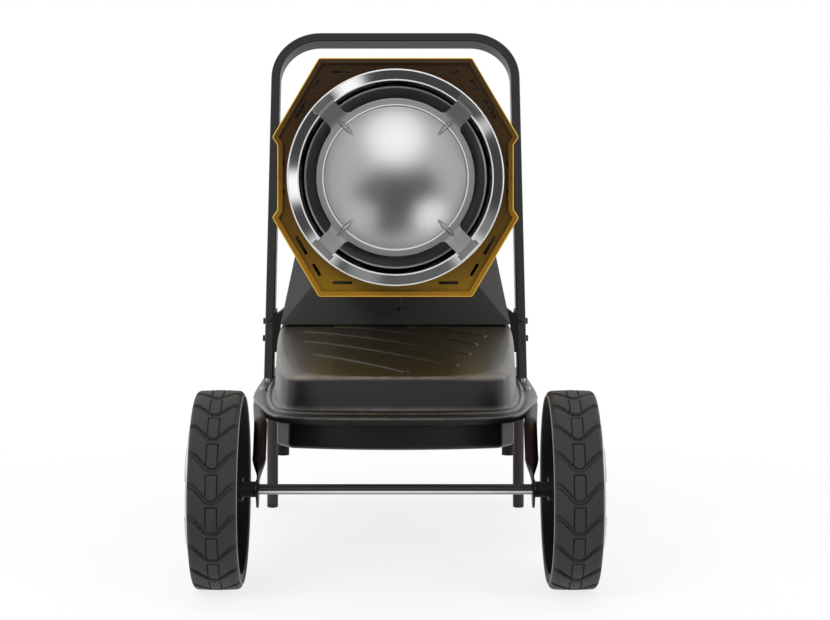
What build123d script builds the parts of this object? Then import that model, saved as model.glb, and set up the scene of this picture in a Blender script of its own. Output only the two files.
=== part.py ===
from build123d import *
from math import atan2, cos, degrees, pi, radians, sin, tan
import os

os.makedirs("parts", exist_ok=True)

# Wheeled forced air heater.  +X is to the right seen from the front, the warm air leaves
# towards -Y, +Z is up and the heater stands on z = 0.  Millimetres.
# Lengths named ..._BACK are measured rearwards from the wheel axle, and those named
# ..._FROM_REAR forwards from the rear end of the housing.

# ------------------------------------------------------------------ fits
RUN_CLEAR = 0.08          # radial running clearance of a shaft in its bore
AXIAL_CLEAR = 0.3         # end float beside a turning hub
FIT = 0.2                 # gap between plates, pans and tubes that nest
HOLE_CLEAR = 0.3          # radial clearance round a bolt
EPS = 1.0                 # how far a cutting tool runs past the face it cuts

# ------------------------------------------------------------------ wheels and axle
WHEEL_DIA = 305.0
TYRE_WIDTH = 73.0
TYRE_DEPTH = 19.0
TYRE_CROWN = 1.6
TYRE_SHOULDER_R = 8.0
TREAD_PITCHES = 20
TREAD_DEPTH = 5.0
TREAD_BLOCK_W = 17.4
TREAD_GAP = 6.0
TREAD_SIPE = 2.4
TREAD_GROOVE = 4.5
TREAD_SWEEP = 42.0
RIM_WALL = 4.0
RIM_INSET = 1.0
RIM_RIBS = 6
RIM_RIB_T = 4.0
WEB_T = 6.0
WEB_INSET = 14.0
HUB_DIA = 36.0
HUB_PROUD = 1.5
SLEEVE_DIA = 24.4
SLEEVE_REACH = 19.0
AXLE_DIA = 16.0
AXLE_TAIL = 0.7
WASHER_T = 1.5
WASHER_DIA = 30.0
RETAINER_T = 4.0
RETAINER_DIA = 25.0
TRIM_T = 2.5
TRIM_BULGE = 8.5
TRIM_SPOKES = 6
TRIM_DOME_R = 30.0
TRIM_WINDOW_IN = 46.0
TRIM_WINDOW_OUT = 108.0

# ------------------------------------------------------------------ frame and handle
TUBE_DIA = 21.0
TUBE_WALL = 1.8
FRONT_LEG_X = 212.7
FRONT_LEG_LEAN = 33.7
LEG_PLATE_T = 3.0
LEG_PLATE_W = 34.0
LEG_PLATE_TAIL = 12.5
FLARE_START = 16.0
FLARE_SHARE = 0.53          # part of the front leg's length that ends the flattening
RAIL_X = 234.0
RAIL_BACK = 336.0
RAIL_BEND_R = 60.0
RAIL_SPLAY_R = 150.0
REAR_LEG_X = 236.5
REAR_LEG_BACK = 738.0
REAR_LEG_BEND_R = 55.0
LEG_CAP_H = 8.0
LEG_CAP_ROUND = 2.5
LEG_CAP_PLUG = 16.0
HANDLE_X = 239.0
HANDLE_W = 18.0
HANDLE_D = 42.0
HANDLE_CORNER_R = 3.5
HANDLE_WALL = 1.8
HANDLE_LEAN = 20.6
HANDLE_TOP_Z = 910.5
HANDLE_BEND_R = 88.0
HANDLE_FOOT_BACK = 680.0
HANDLE_BOLT_Z = (328.0, 360.0)
BOLT_R = 4.0
BOLT_HEAD_R = 6.5
BOLT_HEAD_T = 5.0
NUT_R = 7.0
NUT_T = 6.5

# ------------------------------------------------------------------ fuel tank
TANK_T = 1.5
FLANGE_TOP_Z = 257.0
FLANGE_LIP = 11.0
FLANGE_FRONT_BACK = 45.0
FLANGE_CORNER_X = 193.0
FLANGE_CORNER_BACK = 118.0
FLANGE_SIDE_X = 247.5
FLANGE_SIDE_BACK = 350.0
FLANGE_HALF_W = 249.5
FLANGE_END_BACK = 890.0
FLANGE_CORNER_R = 35.0
FLANGE_STEP_IN = 22.0
FLANGE_STEP_H = 4.0
CROWN_FRONT_BACK = 94.0
CROWN_CORNER_X = 165.0
CROWN_CORNER_BACK = 140.0
CROWN_SIDE_X = 214.0
CROWN_SIDE_BACK = 460.0
CROWN_HALF_W = 216.0
CROWN_END_BACK = 856.0
CROWN_FRONT_R = 90.0
CROWN_CORNER_R = 40.0
CROWN_DRAFT = 3.0
CROWN_EDGE_R = 9.0
ROOF_FRONT_Z = 316.5
ROOF_TOP_Z = 366.0
ROOF_FOLD_R = 120.0
PAN_FRONT_BACK = 100.0
PAN_CORNER_X = 170.0
PAN_CORNER_BACK = 124.0
PAN_SIDE_X = 193.0
PAN_SIDE_BACK = 160.0
PAN_HALF_W = 203.0
PAN_END_BACK = 852.0
PAN_CORNER_R = 16.0
PAN_BOTTOM_Z = 198.0
PAN_EDGE_R = 8.0
RIB_W = 9.0
RIB_H = 2.0
ROOF_RIBS = (
    ((-140, 271), (-63, 214), (20, 128)),
    ((-158, 382), (-36, 309), (103, 175)),
    ((-164, 473), (-19, 400), (127, 268)),
    ((-110, 520), (0, 480), (142, 354)),
    ((20, 526), (95, 480), (160, 428)),
)
STUB_X = 187.0
STUB_BACK = 224.0
STUB_R = 10.5
STUB_H = 24.0
FLANGE_BOLT_BACK = (454.0, 606.0)
FLANGE_BOLT_R = 3.0
FLANGE_BOLT_HEAD_R = 6.0
FLANGE_BOLT_HEAD_T = 4.5
FILLER_X = 118.0
FILLER_BACK = 806.0
NECK_R = 23.0
NECK_T = 1.5
NECK_H = 22.0
NECK_FLANGE_R = 31.0
NECK_FLANGE_T = 2.0
STRAINER_T = 1.0
STRAINER_DEPTH = 62.0
CAP_R = 28.5
CAP_SKIRT = 14.0
CAP_TOP_T = 5.0
CAP_FLUTES = 16
SEAL_T = 2.5
GAUGE_X = -118.0
GAUGE_R = 24.0
GAUGE_H = 9.0
GAUGE_WALL = 2.5
PICKUP_X = 7.0
PICKUP_BACK = 590.0
PICKUP_PIPE_R = 4.0
PICKUP_FILTER_R = 14.0
PICKUP_FILTER_H = 28.0
PICKUP_FLOOR_GAP = 6.0
PICKUP_FLANGE_R = 20.0
PICKUP_FLANGE_T = 3.0
DRAIN_BACK = 800.0
DRAIN_R = 9.0
DRAIN_H = 10.0

# ------------------------------------------------------------------ heater housing
BODY_Z = 635.0
BODY_HALF_H = 180.0
BODY_FLAT_HALF = 115.6
BODY_KINK_X = 186.0
BODY_KINK_Z = 60.5
BODY_RECESS_X = 178.0
BODY_RECESS_Z = 49.0
BODY_CORNER_R = 5.0
BODY_FRONT_BACK = -80.0
BODY_LEN = 840.0
SHELL_T = 1.5
SHELL_LIP = 8.0
SHELL_EDGE_R = 2.4
SEAM_GAP = 0.8
STRIP_T = 2.0
STRIP_HALF_H = 30.0
SCREW_RISE = 18.0
SCREW_R = 2.0
SCREW_HEAD_R = 4.5
SCREW_HEAD_T = 2.4
SCREW_LEN = 8.0
SCREW_COUNT = 6
SCREW_FROM_FRONT = 60.0
SCREW_FROM_REAR = 40.0
PANEL_SETBACK = 4.0
PANEL_T = 1.5
PANEL_RIM = 14.0
SLOT_W = 4.6
SLOTS_FLAT = ((80.0, 159.0, 30.0),)
SLOTS_SLANT = ((119.0, 139.5, 21.5), (142.0, 102.5, 32.0))
NOTCH_X = 171.0
NOTCH_Z = 22.0
NOTCH_W = 6.4
NOTCH_H = 9.2

# ------------------------------------------------------------------ outlet and burner
NECK_IN_R = 146.0
OUTLET_T = 1.5
OUTLET_FLARE = 15.0
OUTLET_ROLL_R = 1.6
OUTLET_BEND_AHEAD = 2.0
OUTLET_RUN = 18.0
ARM_AHEAD = 12.0
OUTLET_NECK_LEN = 62.0
CHAMBER_R = 137.0
CHAMBER_T = 1.5
CHAMBER_FRONT_BACK = -60.0
CHAMBER_FROM_REAR = 330.0
CHAMBER_BEAD_R = 1.6
SHIELD_T = 1.0
SPACER_W = 14.0
SPACER_LEN = 20.0
SPACER_BACK = 0.0
SPACER_FROM_REAR = 375.0
SADDLE_W = 120.0
SADDLE_T = 2.0
SADDLE_BACK = 70.0
SADDLE_FROM_REAR = 380.0
SHIELD_FROM_REAR = 340.0
DISC_R = 118.5
DISC_STEP_R = 108.5
DISC_T = 1.5
DISC_DOME = 15.0
DISC_STEP = 4.0
DISC_RETURN = 6.0
ARM_W = 30.6
ARM_R = 157.7
ARM_COUNT = 4
ARM_ROOT_R = 9.0
GUSSET_IN_R = 88.0
GUSSET_OUT_R = 121.0
GUSSET_T = 3.0
GUSSET_H = 6.0
HEAD_FROM_REAR = 346.0
HEAD_T = 3.0
HEAD_SLOTS = 12
NOZZLE_R = 14.0
NOZZLE_AHEAD = 20.0
NOZZLE_BEHIND = 60.0
NOZZLE_FLANGE_R = 22.0
NOZZLE_TIP_R = 5.0
ELECTRODE_X = 26.0
ELECTRODE_R = 4.0
ELECTRODE_TIP_R = 1.2
PHOTOCELL_RISE = 52.0
PHOTOCELL_R = 8.0
PHOTOCELL_LEN = 26.0

# ------------------------------------------------------------------ fan, motor and pump
SHROUD_FROM_REAR = 240.0
SHROUD_T = 2.0
SHROUD_RING_LEN = 68.0
SHROUD_R = 143.5
FAN_TIP_CLEAR = 3.5
FAN_FROM_REAR = 202.0
FAN_HUB_R = 24.0
FAN_HUB_LEN = 32.0
FAN_BLADES = 5
FAN_BLADE_T = 2.5
FAN_PITCH = 27.0
FAN_CHORD_ROOT = 34.0
FAN_CHORD_TIP = 62.0
MOTOR_FROM_REAR = 138.0
MOTOR_R = 60.0
MOTOR_LEN = 80.0
BELL_R = 46.0
BELL_LEN = 11.0
SHAFT_R = 6.0
SHAFT_NOSE = 6.0
MOUNT_T = 3.0
MOUNT_HALF_W = 48.0
PUMP_R = 38.0
PUMP_LEN = 18.0
PUMP_BORE_R = 24.0
PUMP_ROTOR_R = 21.5
PUMP_OFFSET = 1.8
PUMP_COVER_T = 10.0
FILTER_R = 28.0
FILTER_LEN = 9.0
DIAL_R = 18.0
DIAL_T = 14.0
DIAL_DROP = 62.0
GUARD_T = 2.5
GUARD_R = 150.0
GUARD_RINGS = 7
GUARD_WIRE = 2.6
GUARD_BARS = 8

# ------------------------------------------------------------------ cabinet and controls
CABINET_FRONT_BACK = 545.0
CABINET_LEN = 200.0
CABINET_FOOT_HALF = 210.0
CABINET_LEAN = 10.8
CABINET_TOP_Z = 560.0
CABINET_T = 1.5
FACET_RUN = 38.0
FACET_RISE = 46.0
FACET_DEPTH = 45.0
BRACKET_T = 2.5
BRACKET_FRONT_BACK = 630.0
BRACKET_RISE = 26.0
BRACKET_TIP_X = 241.0
CHEEK_WEB_IN_X = 214.5
CHEEK_DROP = 58.0
CHEEK_RISE = 10.0
CONTROL_HALF_W = 80.0
CONTROL_HALF_H = 35.0
CONTROL_Z = 410.0
CONTROL_T = 3.0
CONTROL_LAP = 6.0
KNOB_X = -8.0
KNOB_R = 16.0
KNOB_LEN = 12.0
KNOB_STEM_R = 4.0
KNOB_STEM_LEN = 10.0
BUTTON_X = 19.0
BUTTON_R = 5.0
BUTTON_PROUD = 4.0
BUTTON_STEM = 9.0
BUTTON_COLLAR = 1.5
BUTTON_TRAVEL = 2.5
ROCKER_X = 38.0
ROCKER_HALF_W = 9.0
ROCKER_HALF_H = 12.5
ROCKER_TILT = 9.0
ROCKER_SIDE_GAP = 0.6
ROCKER_END_GAP = 2.0
ROCKER_PIN_R = 1.5
SWITCH_WALL = 2.0
SWITCH_DEPTH = 9.0
DISPLAY_X = -50.0
DISPLAY_HALF_W = 19.0
DISPLAY_HALF_H = 11.0
DISPLAY_T = 2.0
INLET_X = 62.0
INLET_HALF_W = 11.0
INLET_HALF_H = 12.0
INLET_LEN = 20.0
INLET_PROUD = 3.0
INLET_WALL = 2.0
BOARD_X = 100.0
BOARD_W = 110.0
BOARD_D = 80.0
BOARD_T = 1.6
BOARD_STANDOFF = 6.0
TRANSFORMER_X = -105.0
TRANSFORMER_W = 80.0
TRANSFORMER_D = 60.0
TRANSFORMER_H = 52.0
LINE_R = 2.5
LINE_FROM_REAR = 260.0
LINE_TURN_Z = 395.0

# ------------------------------------------------------------------ worked-out places
WHEEL_R = WHEEL_DIA / 2
AXLE_Z = WHEEL_R
TUBE_R = TUBE_DIA / 2
LEAN = radians(HANDLE_LEAN)
HANDLE_TOP_BACK = HANDLE_FOOT_BACK + (HANDLE_TOP_Z - FLANGE_TOP_Z) * tan(LEAN)
HANDLE_REACH = HANDLE_TOP_BACK + HANDLE_CORNER_R + (HANDLE_D / 2 - HANDLE_CORNER_R) * cos(LEAN) \
    + (HANDLE_W / 2 - HANDLE_CORNER_R) * sin(LEAN)
AXLE_Y = (WHEEL_R - HANDLE_REACH) / 2          # centres the whole length on y = 0


def at_y(back):
    """y of a place that lies this far behind the axle."""
    return AXLE_Y + back


def facing(y, z=0.0):
    """Upright plane across the heater: local x is +X, local y is +Z, its normal is -Y."""
    return Plane(origin=(0, y, z), x_dir=(1, 0, 0), z_dir=(0, -1, 0))


def side_plane(x=0.0, y=0.0, z=0.0):
    """Upright plane along the heater: local x is +Y, local y is +Z, its normal is +X."""
    return Plane(origin=(x, y, z), x_dir=(0, 1, 0), z_dir=(1, 0, 0))


def save(builder, name):
    builder.part.label = name
    export_step(builder.part, f"parts/{name}.step")


PLATE_OUT_X = FRONT_LEG_X + LEG_PLATE_T / 2
HUB_IN_X = PLATE_OUT_X + WASHER_T + AXIAL_CLEAR
TYRE_IN_X = HUB_IN_X + SLEEVE_REACH
TYRE_OUT_X = TYRE_IN_X + TYRE_WIDTH
TYRE_MID_X = (TYRE_IN_X + TYRE_OUT_X) / 2
RIM_R = WHEEL_R - TYRE_DEPTH
BARREL_IN_R = RIM_R - RIM_WALL
WEB_OUT_X = TYRE_OUT_X - WEB_INSET
HUB_OUT_X = WEB_OUT_X + HUB_PROUD
RETAINER_X = HUB_OUT_X + AXIAL_CLEAR + WASHER_T
AXLE_END_X = RETAINER_X + RETAINER_T + AXLE_TAIL
AXLE_AXIS = Axis((0, AXLE_Y, AXLE_Z), (1, 0, 0))
AXLE_BORE_R = AXLE_DIA / 2 + RUN_CLEAR

FLANGE_UNDER_Z = FLANGE_TOP_Z - 2 * TANK_T
RAIL_Z = FLANGE_UNDER_Z - TUBE_R
LEG_LEAN = radians(FRONT_LEG_LEAN)
RAIL_START_Y = AXLE_Y + (RAIL_Z - AXLE_Z) * tan(LEG_LEAN)
FLARE_END = FLARE_SHARE * (RAIL_Z - AXLE_Z) / cos(LEG_LEAN)

BODY_AXIS = Axis((0, 0, BODY_Z), (0, 1, 0))
BODY_FRONT_Y = at_y(BODY_FRONT_BACK)
BODY_REAR_Y = BODY_FRONT_Y + BODY_LEN
PANEL_Y = BODY_FRONT_Y + SHELL_T + PANEL_SETBACK
PANEL_REAR_Y = PANEL_Y + PANEL_T
SCREW_STEP = (BODY_LEN - SCREW_FROM_FRONT - SCREW_FROM_REAR) / (SCREW_COUNT - 1)
SCREW_YS = [BODY_FRONT_Y + SCREW_FROM_FRONT + SCREW_STEP * count for count in range(SCREW_COUNT)]
SHROUD_Y = BODY_REAR_Y - SHROUD_FROM_REAR
CABINET_Y = at_y(CABINET_FRONT_BACK)
CABINET_REAR_Y = CABINET_Y + CABINET_LEN
ROOF_FOOT_Y = at_y(CROWN_FRONT_BACK)
ROOF_SLOPE = atan2(ROOF_TOP_Z - ROOF_FRONT_Z, CABINET_Y - ROOF_FOOT_Y)
SHIELD_IN_R = NECK_IN_R + OUTLET_T
FLOOR_Z = BODY_Z - BODY_HALF_H + SHELL_T


# ================================================================== wheels
def tread_planes():
    """One plane per tread pitch, resting on the tyre, its local y up the front of the wheel."""
    planes = []
    for pitch in range(TREAD_PITCHES):
        turn = 2 * pi * pitch / TREAD_PITCHES
        out = Vector(0, -cos(turn), sin(turn))
        centre = Vector(0, AXLE_Y, AXLE_Z) + out * (WHEEL_R + EPS)
        planes.append(Plane(origin=centre, x_dir=(1, 0, 0), z_dir=out))
    return planes


def build_tyre(side):
    pitch_len = pi * WHEEL_DIA / TREAD_PITCHES
    block_len = pitch_len - TREAD_GAP
    groove_len = (TYRE_WIDTH - TREAD_BLOCK_W) / 2 / cos(radians(TREAD_SWEEP)) + TREAD_GROOVE
    shoulder_r = WHEEL_R - TYRE_CROWN
    with BuildPart() as tyre:
        with BuildSketch(facing(AXLE_Y, AXLE_Z)):
            with BuildLine():
                Polyline(
                    (side * TYRE_IN_X, shoulder_r),
                    (side * TYRE_IN_X, RIM_R),
                    (side * TYRE_OUT_X, RIM_R),
                    (side * TYRE_OUT_X, shoulder_r),
                )
                ThreePointArc(
                    (side * TYRE_OUT_X, shoulder_r),
                    (side * TYRE_MID_X, WHEEL_R),
                    (side * TYRE_IN_X, shoulder_r),
                )
            section = make_face()
            shoulders = section.vertices().group_by(Axis.Z)[-1]
            fillet(shoulders, radius=TYRE_SHOULDER_R)
        revolve(axis=AXLE_AXIS)
        with BuildSketch(*tread_planes()):
            with Locations((side * TYRE_MID_X, TREAD_GAP / 2)):
                Rectangle(TREAD_BLOCK_W, TREAD_GAP)
            for hand in (-1, 1):
                sipe_x = side * TYRE_MID_X + hand * (TREAD_BLOCK_W + TREAD_SIPE) / 2
                with Locations((sipe_x, -block_len / 2)):
                    Rectangle(TREAD_SIPE, block_len * 0.8)
                groove_x = side * TYRE_MID_X + hand * (TYRE_WIDTH + TREAD_BLOCK_W) / 4
                with Locations(Location((groove_x, -block_len / 2, 0), (0, 0, hand * TREAD_SWEEP))):
                    Rectangle(groove_len, TREAD_GROOVE)
        extrude(amount=-(TREAD_DEPTH + EPS), mode=Mode.SUBTRACT)
    return tyre


def build_rim(side):
    barrel_in = side * (TYRE_IN_X + RIM_INSET)
    barrel_out = side * (TYRE_OUT_X - RIM_INSET)
    web_in = side * (WEB_OUT_X - WEB_T)
    web_out = side * WEB_OUT_X
    hub_r = HUB_DIA / 2
    sleeve_r = SLEEVE_DIA / 2
    with BuildPart() as rim:
        with BuildSketch(facing(AXLE_Y, AXLE_Z)):
            with BuildLine():
                Polyline(
                    (side * HUB_IN_X, AXLE_BORE_R),
                    (side * HUB_IN_X, sleeve_r),
                    (barrel_in, sleeve_r),
                    (barrel_in, hub_r),
                    (web_in, hub_r),
                    (web_in, BARREL_IN_R),
                    (barrel_in, BARREL_IN_R),
                    (barrel_in, RIM_R),
                    (barrel_out, RIM_R),
                    (barrel_out, BARREL_IN_R),
                    (web_out, BARREL_IN_R),
                    (web_out, hub_r),
                    (side * HUB_OUT_X, hub_r),
                    (side * HUB_OUT_X, AXLE_BORE_R),
                    close=True,
                )
            make_face()
        revolve(axis=AXLE_AXIS)
        rib_x = web_in - side * WEB_INSET / 2
        rib_len = BARREL_IN_R - hub_r + 2 * EPS
        with BuildSketch(side_plane(rib_x, AXLE_Y, AXLE_Z)):
            with PolarLocations((BARREL_IN_R + hub_r) / 2, RIM_RIBS):
                Rectangle(rib_len, RIM_RIB_T)
        extrude(amount=side * WEB_INSET / 2)
    return rim


def build_wheel_trim(side):
    """Spoked wheel trim: its spokes stand proud of the tyre's outer face."""
    edge_r = BARREL_IN_R - FIT
    low_x = TYRE_OUT_X - 2 * TRIM_T
    dome_x = AXLE_END_X + 2 * TRIM_T
    outer = (
        (0.0, dome_x),
        (TRIM_DOME_R / 2, dome_x),
        (TRIM_DOME_R, dome_x - TRIM_T / 2),
        (TRIM_WINDOW_IN - 4.0, low_x + 1.0),
        (TRIM_WINDOW_IN + 29.0, TYRE_OUT_X + TRIM_BULGE / 2),
        (TRIM_WINDOW_OUT - 8.0, TYRE_OUT_X + TRIM_BULGE),
        (TRIM_WINDOW_OUT + 8.0, TYRE_OUT_X + TRIM_BULGE / 2),
        (edge_r, low_x + 1.0),
    )
    inner = [(r, x - TRIM_T) for r, x in outer[:-1]] + [(edge_r - TRIM_T, low_x + 1.0 - TRIM_T)]
    with BuildPart() as trim:
        with BuildSketch(facing(AXLE_Y, AXLE_Z)):
            with BuildLine():
                Polyline(
                    *[(side * x, r) for r, x in outer],
                    (side * WEB_OUT_X, edge_r),
                    (side * WEB_OUT_X, edge_r - TRIM_T),
                    *[(side * x, r) for r, x in reversed(inner)],
                    close=True,
                )
            make_face()
        revolve(axis=AXLE_AXIS)
        half_in = TRIM_WINDOW_IN * tan(pi / TRIM_SPOKES / 3)
        half_out = TRIM_WINDOW_OUT * tan(pi / TRIM_SPOKES * 0.55)
        with BuildSketch(side_plane(side * WEB_OUT_X, AXLE_Y, AXLE_Z)) as windows:
            with PolarLocations(0, TRIM_SPOKES):
                Polygon(
                    (TRIM_WINDOW_IN, -half_in),
                    (TRIM_WINDOW_OUT, -half_out),
                    (TRIM_WINDOW_OUT, half_out),
                    (TRIM_WINDOW_IN, half_in),
                    align=None,
                )
            fillet(windows.vertices(), radius=5.0)
        extrude(amount=side * (TYRE_WIDTH), mode=Mode.SUBTRACT)
    return trim


for side, hand in ((-1, "left"), (1, "right")):
    save(build_tyre(side), f"{hand}_tyre")
    save(build_rim(side), f"{hand}_rim")
    save(build_wheel_trim(side), f"{hand}_wheel_trim")

with BuildPart() as axle:
    with BuildSketch(side_plane(-AXLE_END_X, AXLE_Y, AXLE_Z)):
        Circle(AXLE_DIA / 2)
    extrude(amount=2 * AXLE_END_X)
    chamfer(axle.edges().filter_by(GeomType.CIRCLE), length=1.0)
save(axle, "axle")

with BuildPart() as axle_fasteners:
    for side in (-1, 1):
        rings = (
            (PLATE_OUT_X, WASHER_T, WASHER_DIA),
            (HUB_OUT_X + AXIAL_CLEAR, WASHER_T, WASHER_DIA),
            (RETAINER_X + FIT / 4, RETAINER_T, RETAINER_DIA),
        )
        for x, thick, dia in rings:
            with BuildSketch(side_plane(side * x, AXLE_Y, AXLE_Z)):
                Circle(dia / 2)
                Circle(AXLE_DIA / 2 + FIT / 4, mode=Mode.SUBTRACT)
            extrude(amount=side * thick)
save(axle_fasteners, "axle_fasteners")


# ================================================================== frame
def build_frame_tube(side):
    """One bent tube: flattened at the axle, a rail under the tank, then the rear leg."""
    up = Vector(0, sin(LEG_LEAN), cos(LEG_LEAN))
    root = Vector(side * FRONT_LEG_X, AXLE_Y, AXLE_Z)
    ellipses = (
        (FLARE_START, LEG_PLATE_T / 2, LEG_PLATE_W / 2),
        (FLARE_START + 0.38 * (FLARE_END - FLARE_START), TUBE_R * 0.54, TUBE_R * 1.36),
        (FLARE_START + 0.63 * (FLARE_END - FLARE_START), TUBE_R * 0.87, TUBE_R * 1.12),
        (FLARE_END, TUBE_R, TUBE_R),
    )
    with BuildPart() as tube:
        with BuildLine() as route:
            FilletPolyline(
                root + up * FLARE_END,
                (side * FRONT_LEG_X, RAIL_START_Y, RAIL_Z),
                (side * RAIL_X, at_y(RAIL_BACK), RAIL_Z),
                (side * REAR_LEG_X, at_y(REAR_LEG_BACK), RAIL_Z),
                (side * REAR_LEG_X, at_y(REAR_LEG_BACK), LEG_CAP_H),
                radius=[RAIL_BEND_R, RAIL_SPLAY_R, REAR_LEG_BEND_R],
            )
        with BuildSketch(Plane(origin=route.line @ 0, x_dir=(1, 0, 0), z_dir=up)):
            Circle(TUBE_R)
            Circle(TUBE_R - TUBE_WALL, mode=Mode.SUBTRACT)
        sweep(path=route.line)
        for distance, half_x, half_y in ellipses:
            with BuildSketch(Plane(origin=root + up * distance, x_dir=(1, 0, 0), z_dir=up)):
                Ellipse(half_x, half_y)
        loft()
        with BuildSketch(Plane(origin=root, x_dir=up, z_dir=(1, 0, 0))):
            with Locations((-LEG_PLATE_TAIL, 0)):
                Circle(LEG_PLATE_W / 2)
            with Locations(((FLARE_START - LEG_PLATE_TAIL) / 2, 0)):
                Rectangle(FLARE_START + LEG_PLATE_TAIL, LEG_PLATE_W)
        extrude(amount=LEG_PLATE_T / 2, both=True)
        with BuildSketch(side_plane(side * FRONT_LEG_X, AXLE_Y, AXLE_Z)):
            Circle(AXLE_DIA / 2 + FIT / 4)
        extrude(amount=LEG_PLATE_T, both=True, mode=Mode.SUBTRACT)
        for back in FLANGE_BOLT_BACK:
            with BuildSketch(Plane.XY.offset(RAIL_Z)):
                with Locations((side * rail_x(back), at_y(back))):
                    Circle(FLANGE_BOLT_R + HOLE_CLEAR)
            extrude(amount=TUBE_DIA, mode=Mode.SUBTRACT)
    return tube


def rail_x(back):
    """Half the distance between the rails at a place behind the rail's splay."""
    share = (back - RAIL_BACK) / (REAR_LEG_BACK - RAIL_BACK)
    return RAIL_X + share * (REAR_LEG_X - RAIL_X)


for side, hand in ((-1, "left"), (1, "right")):
    save(build_frame_tube(side), f"{hand}_frame_tube")

with BuildPart() as leg_caps:
    for side in (-1, 1):
        with BuildSketch(Plane.XY):
            with Locations((side * REAR_LEG_X, at_y(REAR_LEG_BACK))):
                Circle(TUBE_R)
        extrude(amount=LEG_CAP_H)
    fillet(leg_caps.edges().filter_by(GeomType.CIRCLE).group_by(Axis.Z)[0], radius=LEG_CAP_ROUND)
    for side in (-1, 1):
        with BuildSketch(Plane.XY.offset(LEG_CAP_H)):
            with Locations((side * REAR_LEG_X, at_y(REAR_LEG_BACK))):
                Circle(TUBE_R - TUBE_WALL - FIT)
        extrude(amount=LEG_CAP_PLUG)
save(leg_caps, "leg_caps")


# ================================================================== handle
def handle_y(z):
    """y of the handle tube's centre line at a height on its straight legs."""
    return at_y(HANDLE_FOOT_BACK) + (z - FLANGE_TOP_Z) * tan(LEAN)


HANDLE_UP = Vector(0, sin(LEAN), cos(LEAN))
HANDLE_LEG = (HANDLE_TOP_Z - FLANGE_TOP_Z) / cos(LEAN)
HANDLE_PLANE = Plane(
    origin=(0, at_y(HANDLE_FOOT_BACK), FLANGE_TOP_Z),
    x_dir=(1, 0, 0),
    z_dir=(0, -cos(LEAN), sin(LEAN)),
)

with BuildPart() as handle_hoop:
    with BuildLine(HANDLE_PLANE) as hoop_line:
        FilletPolyline(
            (-HANDLE_X, -HANDLE_D),
            (-HANDLE_X, HANDLE_LEG),
            (HANDLE_X, HANDLE_LEG),
            (HANDLE_X, -HANDLE_D),
            radius=HANDLE_BEND_R,
        )
    with BuildSketch(Plane(origin=hoop_line.line @ 0, x_dir=(1, 0, 0), z_dir=HANDLE_UP)):
        RectangleRounded(HANDLE_W, HANDLE_D, HANDLE_CORNER_R)
        RectangleRounded(
            HANDLE_W - 2 * HANDLE_WALL,
            HANDLE_D - 2 * HANDLE_WALL,
            HANDLE_CORNER_R - HANDLE_WALL,
            mode=Mode.SUBTRACT,
        )
    sweep(path=hoop_line.line)
    split(bisect_by=Plane.XY.offset(FLANGE_TOP_Z), keep=Keep.TOP)
    for z in HANDLE_BOLT_Z:
        with BuildSketch(side_plane(0, handle_y(z), z)):
            Circle(BOLT_R + HOLE_CLEAR)
        extrude(amount=2 * HANDLE_X, both=True, mode=Mode.SUBTRACT)
save(handle_hoop, "handle_hoop")

HANDLE_IN_X = HANDLE_X - HANDLE_W / 2
HANDLE_OUT_X = HANDLE_X + HANDLE_W / 2
CHEEK_OUT_X = HANDLE_IN_X
CHEEK_IN_X = CHEEK_OUT_X - BRACKET_T

with BuildPart() as handle_bolts:
    for side in (-1, 1):
        for z in HANDLE_BOLT_Z:
            spot = (handle_y(z), z)
            with BuildSketch(side_plane(side * HANDLE_OUT_X, *spot)):
                RegularPolygon(BOLT_HEAD_R, 6)
            extrude(amount=side * BOLT_HEAD_T)
            with BuildSketch(side_plane(side * HANDLE_OUT_X, *spot)):
                Circle(BOLT_R)
            extrude(amount=-side * (HANDLE_OUT_X - CHEEK_IN_X + NUT_T + BOLT_R / 2))
            with BuildSketch(side_plane(side * CHEEK_IN_X, *spot)):
                RegularPolygon(NUT_R, 6)
            extrude(amount=-side * NUT_T)
save(handle_bolts, "handle_bolts")


# ================================================================== shared shapes
def rod_x(x0, x1, y, z, radius, mode=Mode.ADD):
    with Locations(Location(((x0 + x1) / 2, y, z), (0, 90, 0))):
        Cylinder(radius, abs(x1 - x0), mode=mode)


def rod_y(y0, y1, x, z, radius, mode=Mode.ADD):
    with Locations(Location((x, (y0 + y1) / 2, z), (90, 0, 0))):
        Cylinder(radius, abs(y1 - y0), mode=mode)


def rod_z(z0, z1, x, y, radius, mode=Mode.ADD):
    with Locations(Location((x, y, (z0 + z1) / 2))):
        Cylinder(radius, abs(z1 - z0), mode=mode)


def block(xs, ys, zs, mode=Mode.ADD):
    with Locations((sum(xs) / 2, sum(ys) / 2, sum(zs) / 2)):
        Box(abs(xs[1] - xs[0]), abs(ys[1] - ys[0]), abs(zs[1] - zs[0]), mode=mode)


def shrunk(shape, inset):
    """The same outline moved inwards all round."""
    with BuildSketch() as smaller:
        add(shape)
        offset(amount=-inset, mode=Mode.REPLACE)
    return smaller.sketch


def arc_outline(front_back, corner_x, corner_back, side_x, side_back, half_w, end_back, front_r, radius):
    """Plan outline: bowed front edge, slanted corners, straight sides and rear."""
    corner = (corner_x, at_y(corner_back))
    side = (side_x, at_y(side_back))
    end = (half_w, at_y(end_back))
    with BuildSketch() as outline:
        with BuildLine():
            ThreePointArc((-corner[0], corner[1]), (0, at_y(front_back)), corner)
            Polyline(corner, side, end, (-end[0], end[1]), (-side[0], side[1]), (-corner[0], corner[1]))
        make_face()
        fillet(outline.vertices().group_by(Axis.Y)[0], radius=front_r)
        others = [v for v in outline.vertices() if v.Y > side[1] - EPS]
        fillet(others, radius=radius)
    return outline.sketch


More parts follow.
